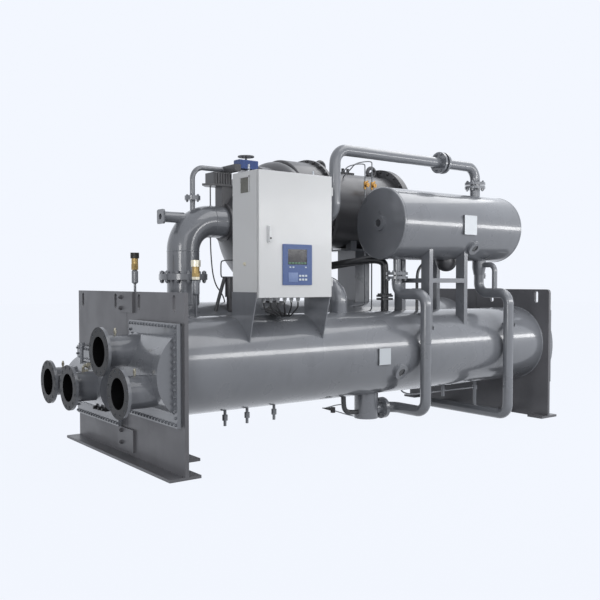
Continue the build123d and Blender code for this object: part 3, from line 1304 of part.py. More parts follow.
with BuildPart() as relief_valve_bonnets:
    for x, y, shell_z, body_z in RELIEF_SITES:
        bonnet_z = body_z + RELIEF_BODY_HEIGHT
        with BuildSketch(Plane(origin=(x, y, bonnet_z))):
            RegularPolygon(RELIEF_BONNET_RADIUS, 6)
        extrude(amount=RELIEF_BONNET_HEIGHT / 2)
        with BuildSketch(Plane(origin=(x, y, bonnet_z))):
            Circle(RELIEF_BODY_RADIUS)
        extrude(amount=RELIEF_BONNET_HEIGHT)
        with BuildSketch(Plane(origin=(x, y, bonnet_z + RELIEF_BONNET_HEIGHT))):
            Circle(RELIEF_CAP_RADIUS)
        extrude(amount=RELIEF_CAP_HEIGHT)
finish(relief_valve_bonnets, "relief_valve_bonnets")


# Sight glasses: a ring on the shell with a round window set into it.
def sight_glass_planes():
    """The three windows' planes at the shells' surfaces, with the normal outwards."""
    tilt = math.radians(CONDENSER_GLASS_TILT)
    condenser_normal = (0, -math.cos(tilt), -math.sin(tilt))
    condenser_window = Plane(
        origin=(
            CONDENSER_GLASS_X,
            CONDENSER_Y + CONDENSER_RADIUS * condenser_normal[1],
            CONDENSER_Z + CONDENSER_RADIUS * condenser_normal[2],
        ),
        x_dir=(1, 0, 0),
        z_dir=condenser_normal,
    )
    tilt = math.radians(ECONOMIZER_GLASS_TILT)
    economizer_normal = (0, -math.cos(tilt), -math.sin(tilt))
    economizer_window = Plane(
        origin=(
            ECONOMIZER_GLASS_X,
            ECONOMIZER_Y + ECONOMIZER_RADIUS * economizer_normal[1],
            ECONOMIZER_Z + ECONOMIZER_RADIUS * economizer_normal[2],
        ),
        x_dir=(1, 0, 0),
        z_dir=economizer_normal,
    )
    end_window = Plane(origin=(ECONOMIZER_X, ECONOMIZER_Y, ECONOMIZER_Z), z_dir=(-1, 0, 0))
    return condenser_window, economizer_window, end_window


with BuildPart() as sight_glass_rings:
    for window in sight_glass_planes():
        with BuildSketch(window.offset(-GLASS_RING_HEIGHT)):
            Circle(GLASS_RING_RADIUS)
        extrude(amount=2 * GLASS_RING_HEIGHT)
        with BuildSketch(window.offset(GLASS_RING_HEIGHT)):
            Circle(GLASS_RADIUS)
        extrude(amount=-2 * GLASS_THICKNESS, mode=Mode.SUBTRACT)
    add(condenser_seat, mode=Mode.SUBTRACT)
    add(economizer_seat, mode=Mode.SUBTRACT)
finish(sight_glass_rings, "sight_glass_rings")

with BuildPart() as sight_glass_windows:
    for window in sight_glass_planes():
        with BuildSketch(window.offset(GLASS_RING_HEIGHT - 2 * GLASS_THICKNESS)):
            Circle(GLASS_RADIUS - SEAT)
        extrude(amount=GLASS_THICKNESS)
finish(sight_glass_windows, "sight_glass_windows")

# Blank nameplates, folded back to the shells at both sides.
with BuildPart() as nameplates:
    for plate_x, width, height, axis_y, axis_z, radius in (
        (
            CONDENSER_NAMEPLATE_X,
            CONDENSER_NAMEPLATE_WIDTH,
            CONDENSER_NAMEPLATE_HEIGHT,
            CONDENSER_Y,
            CONDENSER_Z,
            CONDENSER_RADIUS,
        ),
        (
            ECONOMIZER_NAMEPLATE_X,
            ECONOMIZER_NAMEPLATE_WIDTH,
            ECONOMIZER_NAMEPLATE_HEIGHT,
            ECONOMIZER_Y,
            ECONOMIZER_Z,
            ECONOMIZER_RADIUS,
        ),
    ):
        face_y = axis_y - radius - PLATE_STANDOFF
        with BuildSketch(Plane(origin=(plate_x, face_y, axis_z - height / 2))):
            Rectangle(width, PLATE_FOLD, align=(Align.MIN, Align.MIN))
            with Locations((NAMEPLATE_THICKNESS, NAMEPLATE_THICKNESS)):
                Rectangle(
                    width - 2 * NAMEPLATE_THICKNESS,
                    PLATE_FOLD,
                    align=(Align.MIN, Align.MIN),
                    mode=Mode.SUBTRACT,
                )
        extrude(amount=height)
    add(condenser_seat, mode=Mode.SUBTRACT)
    add(economizer_seat, mode=Mode.SUBTRACT)
finish(nameplates, "nameplates")

# Small valves: drains below the front shell and a vent on each water nozzle.
with BuildPart() as drain_valves:
    for drain_x in DRAIN_X:
        with BuildSketch(Plane(origin=(drain_x, CONDENSER_Y, DRAIN_BOTTOM_Z))):
            Circle(DRAIN_RADIUS)
        extrude(amount=CONDENSER_Z - CONDENSER_RADIUS / 2 - DRAIN_BOTTOM_Z)
        with BuildSketch(Plane(origin=(drain_x, CONDENSER_Y, DRAIN_BOTTOM_Z + DRAIN_BODY_HEIGHT))):
            Circle(DRAIN_BODY_RADIUS)
        extrude(amount=DRAIN_BODY_HEIGHT)
    add(condenser_seat, mode=Mode.SUBTRACT)
finish(drain_valves, "drain_valves")

with BuildPart() as nozzle_vents:
    for nozzle_y, nozzle_z in condenser_nozzles + evaporator_nozzles:
        vent_foot_z = nozzle_z + NOZZLE_PIPE_RADIUS
        with BuildSketch(Plane(origin=(VENT_X, nozzle_y, nozzle_z))):
            Circle(VENT_RADIUS)
        extrude(amount=NOZZLE_PIPE_RADIUS + VENT_HEIGHT)
        with BuildSketch(Plane(origin=(VENT_X, nozzle_y, vent_foot_z + VENT_BODY_RADIUS))):
            RegularPolygon(VENT_BODY_RADIUS, 6)
        extrude(amount=2 * VENT_BODY_RADIUS)
        with BuildSketch(facing_x(NOZZLE_FACE_X, nozzle_y, nozzle_z)):
            Circle(NOZZLE_PIPE_RADIUS + SEAT)
        extrude(amount=-NOZZLE_FACE_X, mode=Mode.SUBTRACT)
finish(nozzle_vents, "nozzle_vents")

# A dished float chamber hangs below the economizer, between its legs.
FLOAT_BOTTOM_Z = ECONOMIZER_BOTTOM_Z - FLOAT_DROP
with BuildPart() as float_chamber:
    with BuildSketch(Plane(origin=(FLOAT_X, ECONOMIZER_Y, FLOAT_BOTTOM_Z))):
        Circle(FLOAT_RADIUS)
    extrude(amount=ECONOMIZER_Z - ECONOMIZER_RADIUS / 2 - FLOAT_BOTTOM_Z)
    fillet(float_chamber.edges().filter_by(GeomType.CIRCLE).sort_by(Axis.Z)[0], FLOAT_ROUND)
    add(economizer_seat, mode=Mode.SUBTRACT)
finish(float_chamber, "float_chamber")

# Panel cables: one from each gland, over the front shell side by side to the compressor's support.
with BuildPart() as panel_cables:
    pedestal_front_y = EVAPORATOR_Y - PEDESTAL_WIDTH / 2
    cable_top_z = PANEL_BOTTOM_Z - GLAND_LENGTH
    for index in range(GLAND_COUNT):
        gland_x = GLAND_FIRST_X + index * gland_step
        offset = (index - (GLAND_COUNT - 1) / 2) * CABLE_PITCH
        run_x = CABLE_RUN_X + offset
        far_x = PEDESTAL_X + offset
        add(
            bent_pipe(
                [
                    (gland_x, GLAND_Y, cable_top_z),
                    (gland_x, GLAND_Y, cable_top_z - CABLE_BEND),
                    (run_x, CABLE_LOW_Y, CABLE_LOW_Z),
                    (run_x, CABLE_CREST_Y, CABLE_CREST_Z),
                    (far_x, pedestal_front_y - CABLE_LEAD, CABLE_FAR_Z),
                    (far_x, pedestal_front_y, CABLE_FAR_Z),
                ],
                CABLE_BEND,
                CABLE_RADIUS,
            )
        )
finish(panel_cables, "panel_cables")
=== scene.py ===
"""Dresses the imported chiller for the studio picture. Metres, in the row frame of the CAD."""

import json
import math

import bmesh
import bpy
from mathutils import Matrix, Vector


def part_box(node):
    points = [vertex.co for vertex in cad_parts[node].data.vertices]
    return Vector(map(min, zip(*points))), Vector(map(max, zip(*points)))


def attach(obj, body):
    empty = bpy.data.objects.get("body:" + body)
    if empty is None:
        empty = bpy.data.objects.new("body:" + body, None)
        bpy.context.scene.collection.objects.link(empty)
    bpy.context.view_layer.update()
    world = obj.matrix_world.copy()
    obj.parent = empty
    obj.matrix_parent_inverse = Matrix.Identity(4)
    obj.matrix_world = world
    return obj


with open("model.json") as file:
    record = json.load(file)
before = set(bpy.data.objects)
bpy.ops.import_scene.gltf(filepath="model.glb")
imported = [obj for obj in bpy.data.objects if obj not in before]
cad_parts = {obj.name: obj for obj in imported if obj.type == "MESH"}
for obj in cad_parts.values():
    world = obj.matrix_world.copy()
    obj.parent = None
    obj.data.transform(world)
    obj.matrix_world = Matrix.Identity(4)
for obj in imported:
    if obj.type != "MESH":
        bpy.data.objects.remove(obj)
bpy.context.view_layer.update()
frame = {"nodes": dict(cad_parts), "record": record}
nodes = frame["nodes"]
MACHINE = "machine"
DOOR = "door"

X_AXIS = Vector((1, 0, 0))
Y_AXIS = Vector((0, 1, 0))
Z_AXIS = Vector((0, 0, 1))


def srgb(red, green, blue):
    """A colour as it looks on screen, 0 to 255, as the linear values the shader takes."""
    linear = []
    for value in (red, green, blue):
        share = value / 255
        linear.append(share / 12.92 if share <= 0.04045 else ((share + 0.055) / 1.055) ** 2.4)
    return (*linear, 1.0)


# Materials. Each colour is varied by noise at the scale of the real surface, with its own
# bump and roughness. Positions are those of the object, so nothing slides with the camera.
class Finish:
    """A procedural surface built on one Principled shader."""

    def __init__(self, name, color, roughness, metallic=0.0, coat=0.0):
        self.material = bpy.data.materials.new(name)
        self.material.use_nodes = True
        self.tree = self.material.node_tree
        self.shader = self.tree.nodes["Principled BSDF"]
        self.shader.inputs["Base Color"].default_value = color
        self.shader.inputs["Roughness"].default_value = roughness
        self.shader.inputs["Metallic"].default_value = metallic
        self.shader.inputs["Coat Weight"].default_value = coat
        self.shader.inputs["Coat Roughness"].default_value = 0.12
        self.place = self.node("ShaderNodeTexCoord").outputs["Object"]
        self.color = color
        self.height = None

    def node(self, kind, **settings):
        made = self.tree.nodes.new(kind)
        for key, value in settings.items():
            setattr(made, key, value)
        return made

    def link(self, source, target):
        self.tree.links.new(source, target)

    def noise(self, scale, detail=4.0, stretch=None):
        pattern = self.node("ShaderNodeTexNoise")
        pattern.inputs["Scale"].default_value = scale
        pattern.inputs["Detail"].default_value = detail
        place = self.place
        if stretch:
            mapping = self.node("ShaderNodeMapping")
            mapping.inputs["Scale"].default_value = stretch
            self.link(place, mapping.inputs["Vector"])
            place = mapping.outputs["Vector"]
        self.link(place, pattern.inputs["Vector"])
        return pattern.outputs["Fac"]

    def spread(self, value, low, high, low_to=0.0, high_to=1.0):
        remap = self.node("ShaderNodeMapRange")
        remap.inputs["From Min"].default_value = low
        remap.inputs["From Max"].default_value = high
        remap.inputs["To Min"].default_value = low_to
        remap.inputs["To Max"].default_value = high_to
        self.link(value, remap.inputs["Value"])
        return remap.outputs["Result"]

    def tint(self, amount, color):
        """Mixes a colour over what the surface has so far, by an amount from 0 to 1."""
        mix = self.node("ShaderNodeMix", data_type="RGBA")
        factor, under, over = (
            next(socket for socket in mix.inputs if socket.identifier == name)
            for name in ("Factor_Float", "A_Color", "B_Color")
        )
        result = next(socket for socket in mix.outputs if socket.identifier == "Result_Color")
        before = self.shader.inputs["Base Color"]
        if before.links:
            self.link(before.links[0].from_socket, under)
        else:
            under.default_value = before.default_value
        over.default_value = color
        self.link(amount, factor)
        self.link(result, before)

    def rough(self, value, low, high, low_to, high_to):
        self.link(self.spread(value, low, high, low_to, high_to), self.shader.inputs["Roughness"])

    def bump(self, value, strength, distance):
        relief = self.node("ShaderNodeBump")
        relief.inputs["Strength"].default_value = strength
        relief.inputs["Distance"].default_value = distance
        self.link(value, relief.inputs["Height"])
        normal = self.shader.inputs["Normal"]
        if normal.links:
            self.link(normal.links[0].from_socket, relief.inputs["Normal"])
        self.link(relief.outputs["Normal"], normal)

    def position(self, axis):
        parts = self.node("ShaderNodeSeparateXYZ")
        self.link(self.place, parts.inputs["Vector"])
        return parts.outputs[axis]

    def step(self, value, edge, above=True):
        """1 where the value is above (or below) the edge, else 0."""
        compare = self.node("ShaderNodeMath", operation="GREATER_THAN" if above else "LESS_THAN")
        self.link(value, compare.inputs[0])
        compare.inputs[1].default_value = edge
        return compare.outputs[0]

    def product(self, first, second):
        """1 where both masks are 1."""
        both = self.node("ShaderNodeMath", operation="MULTIPLY")
        self.link(first, both.inputs[0])
        self.link(second, both.inputs[1])
        return both.outputs[0]

    def either(self, first, second):
        """1 where one of two masks is 1."""
        larger = self.node("ShaderNodeMath", operation="MAXIMUM")
        self.link(first, larger.inputs[0])
        self.link(second, larger.inputs[1])
        return larger.outputs[0]

    def facing(self, axis, edge):
        """1 where the surface faces further along minus the axis than the edge."""
        parts = self.node("ShaderNodeSeparateXYZ")
        self.link(self.node("ShaderNodeNewGeometry").outputs["Normal"], parts.inputs["Vector"])
        return self.step(parts.outputs[axis], edge, above=False)

    def near_axis(self, y, z, radius):
        """1 within a radius of a line that runs along X."""
        offset = self.node("ShaderNodeVectorMath", operation="SUBTRACT")
        self.link(self.place, offset.inputs[0])
        offset.inputs[1].default_value = (0.0, y, z)
        flat = self.node("ShaderNodeVectorMath", operation="MULTIPLY")
        self.link(offset.outputs["Vector"], flat.inputs[0])
        flat.inputs[1].default_value = (0.0, 1.0, 1.0)
        size = self.node("ShaderNodeVectorMath", operation="LENGTH")
        self.link(flat.outputs["Vector"], size.inputs[0])
        return self.step(size.outputs["Value"], radius, above=False)


def machine_paint(name, color, roughness, coat, coat_roughness=0.10):
    """Sprayed enamel over rolled steel: orange peel, faint rolling waves and settled dust."""
    finish = Finish(name, color, roughness, coat=coat)
    finish.shader.inputs["Coat Roughness"].default_value = coat_roughness
    lighter = tuple(min(1.0, c * 1.20) for c in color[:3]) + (1.0,)
    darker = tuple(c * 0.80 for c in color[:3]) + (1.0,)
    finish.tint(finish.spread(finish.noise(1.6, 3.0), 0.42, 0.66, 0.0, 0.6), lighter)
    finish.tint(finish.spread(finish.noise(7.0, 6.0), 0.55, 0.78, 0.0, 0.5), darker)
    streaks = finish.noise(9.0, 5.0, stretch=(1.0, 1.0, 0.12))
    finish.tint(finish.spread(streaks, 0.58, 0.74, 0.0, 0.35), darker)
    finish.rough(finish.noise(4.0, 5.0), 0.35, 0.65, roughness - 0.05, roughness + 0.10)
    finish.bump(finish.noise(2.2, 1.0), 0.20, 0.004)
    finish.bump(finish.noise(260.0, 2.0), 0.10, 0.0005)
    return finish


def moulded(name, color, other, roughness, grain, metallic=0.0, coat=0.0):
    """Plastic or bare metal: two close tones, uneven gloss and a fine grain."""
    finish = Finish(name, color, roughness, metallic=metallic, coat=coat)
    finish.tint(finish.spread(finish.noise(grain * 0.1), 0.4, 0.68, 0.0, 0.55), other)
    finish.rough(finish.noise(grain * 0.15), 0.3, 0.7, roughness - 0.07, roughness + 0.10)
    finish.bump(finish.noise(grain), 0.14, 0.0003)
    return finish


NOZZLES = ((-0.655, 0.559), (-0.353, 0.804), (0.223, 0.502), (0.643, 0.502))
NOZZLE_PIPE_RADIUS = 0.10815
NOZZLE_BORE_RADIUS = 0.1025
NOZZLE_FACE_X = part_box("condenser_nozzles")[0].x
# Black of the flange gaskets, which is their own colour, also laid in the nozzle bores as painted shade
GASKET_AND_BORE_SHADE_BLACK = srgb(17, 17, 18)
IVORY = srgb(226, 220, 200)
DARK_METAL = srgb(46, 45, 42)

MATERIALS = {}
SHELL_COLOR = srgb(116, 119, 125)
MATERIALS["shell_paint"] = machine_paint("shell_paint", SHELL_COLOR, 0.30, 1.0).material
# The end plates take the shells' grey with a duller coat, which is their own finish, and in a darker tone, which
# is painted shade for ends that turn away from the lamps
MATERIALS["plate_paint"] = machine_paint("plate_paint", srgb(98, 98, 102), 0.42, 0.25, 0.25).material
casting = machine_paint("casting_paint", srgb(70, 70, 73), 0.42, 0.35, 0.2)
casting.bump(casting.noise(95.0, 3.0), 0.22, 0.0015)
MATERIALS["casting_paint"] = casting.material

panel = Finish("panel_paint", srgb(221, 223, 225), 0.38, coat=0.2)
panel.tint(panel.spread(panel.noise(2.5, 4.0), 0.45, 0.75, 0.0, 0.35), srgb(211, 212, 212))
panel.rough(panel.noise(9.0, 3.0), 0.3, 0.7, 0.33, 0.44)
panel.bump(panel.noise(420.0, 2.0), 0.12, 0.0005)
MATERIALS["panel_paint"] = panel.material

zinc = Finish("galvanized_steel", srgb(176, 180, 184), 0.36, metallic=0.9)
zinc.tint(zinc.spread(zinc.noise(38.0, 2.0), 0.4, 0.62, 0.0, 0.6), srgb(142, 147, 152))
zinc.rough(zinc.noise(60.0, 3.0), 0.3, 0.7, 0.26, 0.48)
zinc.bump(zinc.noise(300.0), 0.08, 0.0003)
MATERIALS["galvanized_steel"] = zinc.material

MATERIALS["handle_metal"] = moulded(
    "handle_metal", srgb(222, 224, 226), srgb(206, 208, 210), 0.36, 450.0, coat=0.15
).material
MATERIALS["keypad_blue"] = moulded(
    "keypad_blue", srgb(76, 99, 150), srgb(64, 86, 138), 0.45, 700.0
).material
MATERIALS["gland_nylon"] = moulded(
    "gland_nylon", srgb(208, 210, 212), srgb(184, 187, 190), 0.48, 500.0
).material
MATERIALS["cable_black"] = moulded(
    "cable_black", srgb(22, 22, 24), srgb(38, 38, 41), 0.46, 350.0
).material
brass = moulded("valve_brass", srgb(190, 165, 112), srgb(152, 128, 84), 0.34, 420.0, metallic=0.7)
MATERIALS["valve_brass"] = brass.material
blue = moulded("actuator_blue", srgb(26, 66, 132), srgb(18, 48, 104), 0.4, 300.0, coat=0.25)
ACTUATOR_TOP_Z = 2.297
blue.tint(blue.step(blue.position("Z"), ACTUATOR_TOP_Z + 0.0005), DARK_METAL)
MATERIALS["actuator_blue"] = blue.material

glass = Finish("screen_glass", srgb(40, 38, 42), 0.14, coat=0.6)
glass.tint(glass.spread(glass.noise(6.0), 0.45, 0.7, 0.0, 0.4), srgb(54, 51, 55))
glass.rough(glass.noise(25.0), 0.3, 0.7, 0.10, 0.22)
glass.bump(glass.noise(200.0), 0.03, 0.0002)
MATERIALS["screen_glass"] = glass.material

# Finishes of single nodes, each a variation on its slot's own
nozzle_paint = machine_paint("nozzle_paint", SHELL_COLOR, 0.30, 0.8)
# The flange faces are black gasket, their own colour; the bores inside the nozzles are painted black too, painted
# shade for the dark hollow pipes
gasket_and_bore_shade = nozzle_paint.step(nozzle_paint.position("X"), NOZZLE_FACE_X + 0.0006, above=False)
for bore_y, bore_z in NOZZLES:
    gasket_and_bore_shade = nozzle_paint.either(gasket_and_bore_shade, nozzle_paint.near_axis(bore_y, bore_z, NOZZLE_BORE_RADIUS))
nozzle_paint.tint(gasket_and_bore_shade, GASKET_AND_BORE_SHADE_BLACK)
nozzle_paint.shader.inputs["Specular IOR Level"].default_value = 0.2
nozzle_coat = nozzle_paint.shader.inputs["Coat Weight"]
nozzle_paint.link(nozzle_paint.spread(gasket_and_bore_shade, 0.0, 1.0, 0.8, 0.0), nozzle_coat)

bonnet = moulded("relief_bonnet", srgb(176, 150, 98), srgb(142, 120, 76), 0.36, 420.0, metallic=0.6)
bonnet_z = bonnet.position("Z")
CAP_EDGE_Z = 1.375
RING_EDGE_Z = 1.304
DARK_CAP_Z = 1.455
ivory_part = bonnet.either(
    bonnet.step(bonnet_z, CAP_EDGE_Z), bonnet.step(bonnet_z, RING_EDGE_Z, above=False)
)
in_front = bonnet.step(bonnet.position("Y"), 0.0, above=False)
bonnet.tint(bonnet.product(ivory_part, in_front), IVORY)
bonnet.tint(bonnet.step(bonnet_z, DARK_CAP_Z), DARK_METAL)

label = machine_paint("nameplate_paint", srgb(92, 94, 98), 0.4, 0.2)
label.tint(label.facing("Y", -0.5), srgb(206, 212, 218))

sight = Finish("sight_glass", srgb(24, 25, 27), 0.10, coat=0.8)
sight.tint(sight.spread(sight.noise(20.0), 0.45, 0.7, 0.0, 0.4), srgb(38, 40, 42))
sight.rough(sight.noise(40.0), 0.3, 0.7, 0.06, 0.16)
END_GLASS_X = 2.05
END_GLASS_Z = 1.6
at_end = sight.step(sight.position("X"), END_GLASS_X, above=False)
sight.tint(sight.product(at_end, sight.step(sight.position("Z"), END_GLASS_Z)), srgb(70, 72, 76))

vents = moulded("vent_metal", srgb(196, 192, 176), srgb(168, 160, 136), 0.34, 420.0, metallic=0.6)

NODE_FINISHES = {
    "condenser_nozzles": nozzle_paint.material,
    "evaporator_nozzles": nozzle_paint.material,
    "relief_valve_bonnets": bonnet.material,
    "nameplates": label.material,
    "sight_glass_windows": sight.material,
    "nozzle_vents": vents.material,
}

for subpart in frame["record"]["subparts"]:
    cad_object = nodes[subpart["node"]]
    material = NODE_FINISHES.get(subpart["node"], MATERIALS[subpart["material_slot"]])
    for index in range(len(cad_object.material_slots)):
        cad_object.material_slots[index].material = material
    if not cad_object.material_slots:
        cad_object.data.materials.append(material)

# Small parts with a tone of their own
louvre_grey = moulded("louvre_grey", srgb(128, 128, 122), srgb(112, 112, 106), 0.5, 300.0).material
key_white = moulded("key_white", srgb(214, 224, 232), srgb(196, 208, 220), 0.42, 700.0).material
key_green = moulded("key_green", srgb(78, 120, 92), srgb(64, 102, 78), 0.42, 700.0).material
key_pale_blue = moulded("key_pale_blue", srgb(122, 142, 186), srgb(104, 124, 172), 0.45, 700.0).material
ivory = moulded("ivory_plastic", srgb(226, 221, 204), srgb(206, 200, 182), 0.45, 400.0).material
dark_tube = moulded("dark_tube", srgb(52, 53, 56), srgb(38, 39, 41), 0.34, 300.0, coat=0.3).material
copper_brass = moulded("copper_brass", srgb(198, 152, 84), srgb(160, 118, 62), 0.32, 400.0, metallic=0.7)
copper_brass = copper_brass.material


# Pieces made here ride on the machine or the door and take a finish of the record.
def piece(name, bm, slot_name, body=MACHINE, smooth=35, finish=None):
    """Turns a bmesh into a named piece of the object."""
    mesh = bpy.data.meshes.new(name)
    bm.to_mesh(mesh)
    bm.free()
    made = bpy.data.objects.new(name, mesh)
    bpy.context.scene.collection.objects.link(made)
    mesh.materials.append(finish or MATERIALS[slot_name])
    if smooth:
        mesh.shade_smooth()
        mesh.set_sharp_from_angle(angle=math.radians(smooth))
    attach(made, body)
    return made


def turned_to(normal, centre):
    """A placement whose local z points along the normal."""
    return Matrix.Translation(centre) @ Z_AXIS.rotation_difference(Vector(normal)).to_matrix().to_4x4()


def drum(bm, centre, normal, radius, length, sides=24, end_radius=None):
    """A capped drum or cone that starts at the centre and runs along the normal."""
    normal = Vector(normal).normalized()
    middle = Vector(centre) + normal * length / 2
    bmesh.ops.create_cone(
        bm,
        cap_ends=True,
        segments=sides,
        radius1=radius,
        radius2=radius if end_radius is None else end_radius,
        depth=length,
        matrix=turned_to(normal, middle),
    )


def slab(bm, low, high):
    """A box between two corners."""
    low, high = Vector(low), Vector(high)
    size = high - low
    placement = Matrix.Translation((low + high) / 2) @ Matrix.Diagonal((*size, 1.0))
    bmesh.ops.create_cube(bm, size=1.0, matrix=placement)


def soft_slab(bm, low, high, width):
    """A box between two corners with rounded edges."""
    block = bmesh.new()
    slab(block, low, high)
    bmesh.ops.bevel(block, geom=block.edges[:], offset=width, segments=3, affect="EDGES", profile=0.5)
    made = bpy.data.meshes.new("block")
    block.to_mesh(made)
    block.free()
    bm.from_mesh(made)
    bpy.data.meshes.remove(made)


def bolt(bm, seat, normal, radius):
    """A hexagon bolt: washer, head and a short end of thread above it."""
    normal = Vector(normal).normalized()
    seat = Vector(seat)
    drum(bm, seat, normal, radius * 1.15, radius * 0.22, sides=14)
    drum(bm, seat + normal * radius * 0.22, normal, radius, radius * 0.95, sides=6)
    drum(bm, seat + normal * radius * 1.17, normal, radius * 0.52, radius * 0.35, sides=8)


def ring_of_bolts(bm, centre, normal, circle, count, radius, first=0.5):
    """Bolts on a circle, on the face that the normal leaves."""
    placement = turned_to(normal, centre)
    for index in range(count):
        angle = 2 * math.pi * (index + first) / count
        spot = placement @ Vector((circle * math.cos(angle), circle * math.sin(angle), 0))
        bolt(bm, spot, normal, radius)


def torus(bm, centre, normal, radius, thickness, sides=48, round_sides=8):
    """A ring of round section, such as a weld bead or an eye."""
    placement = turned_to(normal, centre)
    rings = []
    for index in range(sides):
        angle = 2 * math.pi * index / sides
        outward = Vector((math.cos(angle), math.sin(angle), 0))
        loop = []
        for step in range(round_sides):
            turn = 2 * math.pi * step / round_sides
            spot = outward * (radius + thickness * math.cos(turn)) + Z_AXIS * thickness * math.sin(turn)
            loop.append(bm.verts.new(placement @ spot))
        rings.append(loop)
    for index in range(sides):
        here, after = rings[index], rings[(index + 1) % sides]
        for step in range(round_sides):
            beyond = (step + 1) % round_sides
            bm.faces.new((here[step], after[step], after[beyond], here[beyond]))


def tube(name, points, radius, slot_name, body=MACHINE, bend=3, finish=None):
    """A bent tube through the points, with rounded corners."""
    curve = bpy.data.curves.new(name, "CURVE")
    curve.dimensions = "3D"
    spline = curve.splines.new("NURBS")
    spline.points.add(len(points) - 1)
    for point, target in zip(spline.points, points):
        point.co = (*target, 1.0)
    spline.order_u = bend
    spline.use_endpoint_u = True
    spline.resolution_u = 8
    curve.bevel_depth = radius
    curve.bevel_resolution = 3
    curve.use_fill_caps = True
    carrier = bpy.data.objects.new(name + "_route", curve)
    mesh = bpy.data.meshes.new_from_object(carrier)
    bpy.data.objects.remove(carrier)
    bpy.data.curves.remove(curve)
    bm = bmesh.new()
    bm.from_mesh(mesh)
    bpy.data.meshes.remove(mesh)
    return piece(name, bm, slot_name, body, smooth=60, finish=finish)


def box_of(name):
    low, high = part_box(name)
    return Vector(low), Vector(high)


# Places read from the frame
plates_low, plates_high = box_of("end_plates_left")
far_low, far_high = box_of("end_plates_right")
shell_low, shell_high = box_of("condenser_shell")
rear_low, rear_high = box_of("evaporator_shell")
vessel_low, vessel_high = box_of("economizer_shell")
CONDENSER = (shell_low + shell_high) / 2
CONDENSER_RADIUS = (shell_high.z - shell_low.z) / 2
EVAPORATOR = (rear_low + rear_high) / 2
EVAPORATOR_RADIUS = (rear_high.z - rear_low.z) / 2
ECONOMIZER = (vessel_low + vessel_high) / 2
ECONOMIZER_RADIUS = (vessel_high.z - vessel_low.z) / 2

# Water box bolting: studs round the outer face of each flange.
BOX_BOLT_RADIUS = 0.0105
BOX_BOLT_PITCH = 0.046
BOX_BOLT_INSET = 0.021
BOX_FLANGE_FACE = 0.043


def around(low_y, high_y, low_z, high_z, pitch):
    """Evenly spaced places round a rectangle in Y and Z."""
    across = max(1, round((high_y - low_y) / pitch))
    upright = max(1, round((high_z - low_z) / pitch))
    places = []
    for index in range(across + 1):
        y = low_y + (high_y - low_y) * index / across
        places += [(y, low_z), (y, high_z)]
    for index in range(1, upright):
        z = low_z + (high_z - low_z) * index / upright
        places += [(low_y, z), (high_y, z)]
    return places


box_bolts = bmesh.new()
for box_name in ("condenser_water_box", "evaporator_water_box"):
    low, high = box_of(box_name)
    for y, z in around(
        low.y + BOX_BOLT_INSET,
        high.y - BOX_BOLT_INSET,
        low.z + BOX_BOLT_INSET,
        high.z - BOX_BOLT_INSET,
        BOX_BOLT_PITCH,
    ):
        bolt(box_bolts, (-BOX_FLANGE_FACE, y, z), -X_AXIS, BOX_BOLT_RADIUS)
        bolt(box_bolts, (far_high.x + BOX_FLANGE_FACE, y, z), X_AXIS, BOX_BOLT_RADIUS)
piece("water_box_bolts", box_bolts, "shell_paint")

# Bolts of the pipe flanges: place, direction, reach of the pair, circle, count and size
suction_low, suction_high = box_of("suction_stub")
suction_centre = Vector(((suction_low.x + suction_high.x) / 2, EVAPORATOR.y, suction_high.z))
SUCTION_FLANGE = 0.024
LIQUID_X = 2.190
FEED_X = 3.230
FLANGE_PAIRS = (
    (suction_centre, Z_AXIS, SUCTION_FLANGE, 0.1775, 12, 0.018),
    (Vector((2.716, ECONOMIZER.y, 2.308)), X_AXIS, 0.034, 0.074, 8, 0.0115),
    (Vector((3.167, ECONOMIZER.y, 2.142)), Z_AXIS, 0.028, 0.074, 8, 0.0115),
    (Vector((LIQUID_X, ECONOMIZER.y, 1.322)), Z_AXIS, 0.028, 0.0735, 8, 0.0105),
    (Vector((0.801, EVAPORATOR.y, 1.964)), Z_AXIS, 0.018, 0.046, 4, 0.010),
    (Vector((2.074, CONDENSER.y, 0.215)), X_AXIS, 0.018, 0.066, 8, 0.010),
    (Vector((1.601, -0.060, 1.420)), Z_AXIS, 0.024, 0.086, 8, 0.011),
)
flange_bolts = bmesh.new()
for centre, normal, reach, circle, count, radius in FLANGE_PAIRS:
    for side in (-1, 1):
        ring_of_bolts(flange_bolts, centre + normal * reach * side, normal * side, circle, count, radius)
piece("flange_bolts", flange_bolts, "shell_paint")

# Bolts of the compressor's casings
gear_low, gear_high = box_of("gear_casing")
motor_low, motor_high = box_of("motor_housing")
cover_low, cover_high = box_of("motor_end_cover")
MOTOR_AXIS_Z = 1.940
GEAR_AXIS_Z = 1.900
RIM_LENGTH = 0.030
casing_bolts = bmesh.new()
gear_rim = Vector((gear_high.x - RIM_LENGTH, EVAPORATOR.y, GEAR_AXIS_Z))
motor_rim = Vector((motor_low.x + RIM_LENGTH, EVAPORATOR.y, MOTOR_AXIS_Z))
cover_rim = Vector((cover_low.x, EVAPORATOR.y, MOTOR_AXIS_Z))
cover_cap = Vector((cover_high.x, EVAPORATOR.y, MOTOR_AXIS_Z))
ring_of_bolts(casing_bolts, gear_rim, -X_AXIS, 0.469, 28, 0.0125)
ring_of_bolts(casing_bolts, motor_rim, X_AXIS, 0.369, 24, 0.012)
ring_of_bolts(casing_bolts, cover_rim, -X_AXIS, 0.405, 24, 0.0125)
ring_of_bolts(casing_bolts, cover_cap, X_AXIS, 0.265, 12, 0.012)
piece("casing_bolts", casing_bolts, "casting_paint")

# Two bolts through the rear half of each splice plate
splice_bolts = bmesh.new()
splice_low, splice_high = box_of("splice_plates")
SPLICE_BOLT_Y = 0.034
for x, side in ((splice_low.x, -1), (splice_high.x, 1)):
    for z in (1.159, 1.079, 0.186, 0.098):
        bolt(splice_bolts, (x, SPLICE_BOLT_Y, z), X_AXIS * side, 0.015)
piece("splice_bolts", splice_bolts, "plate_paint")

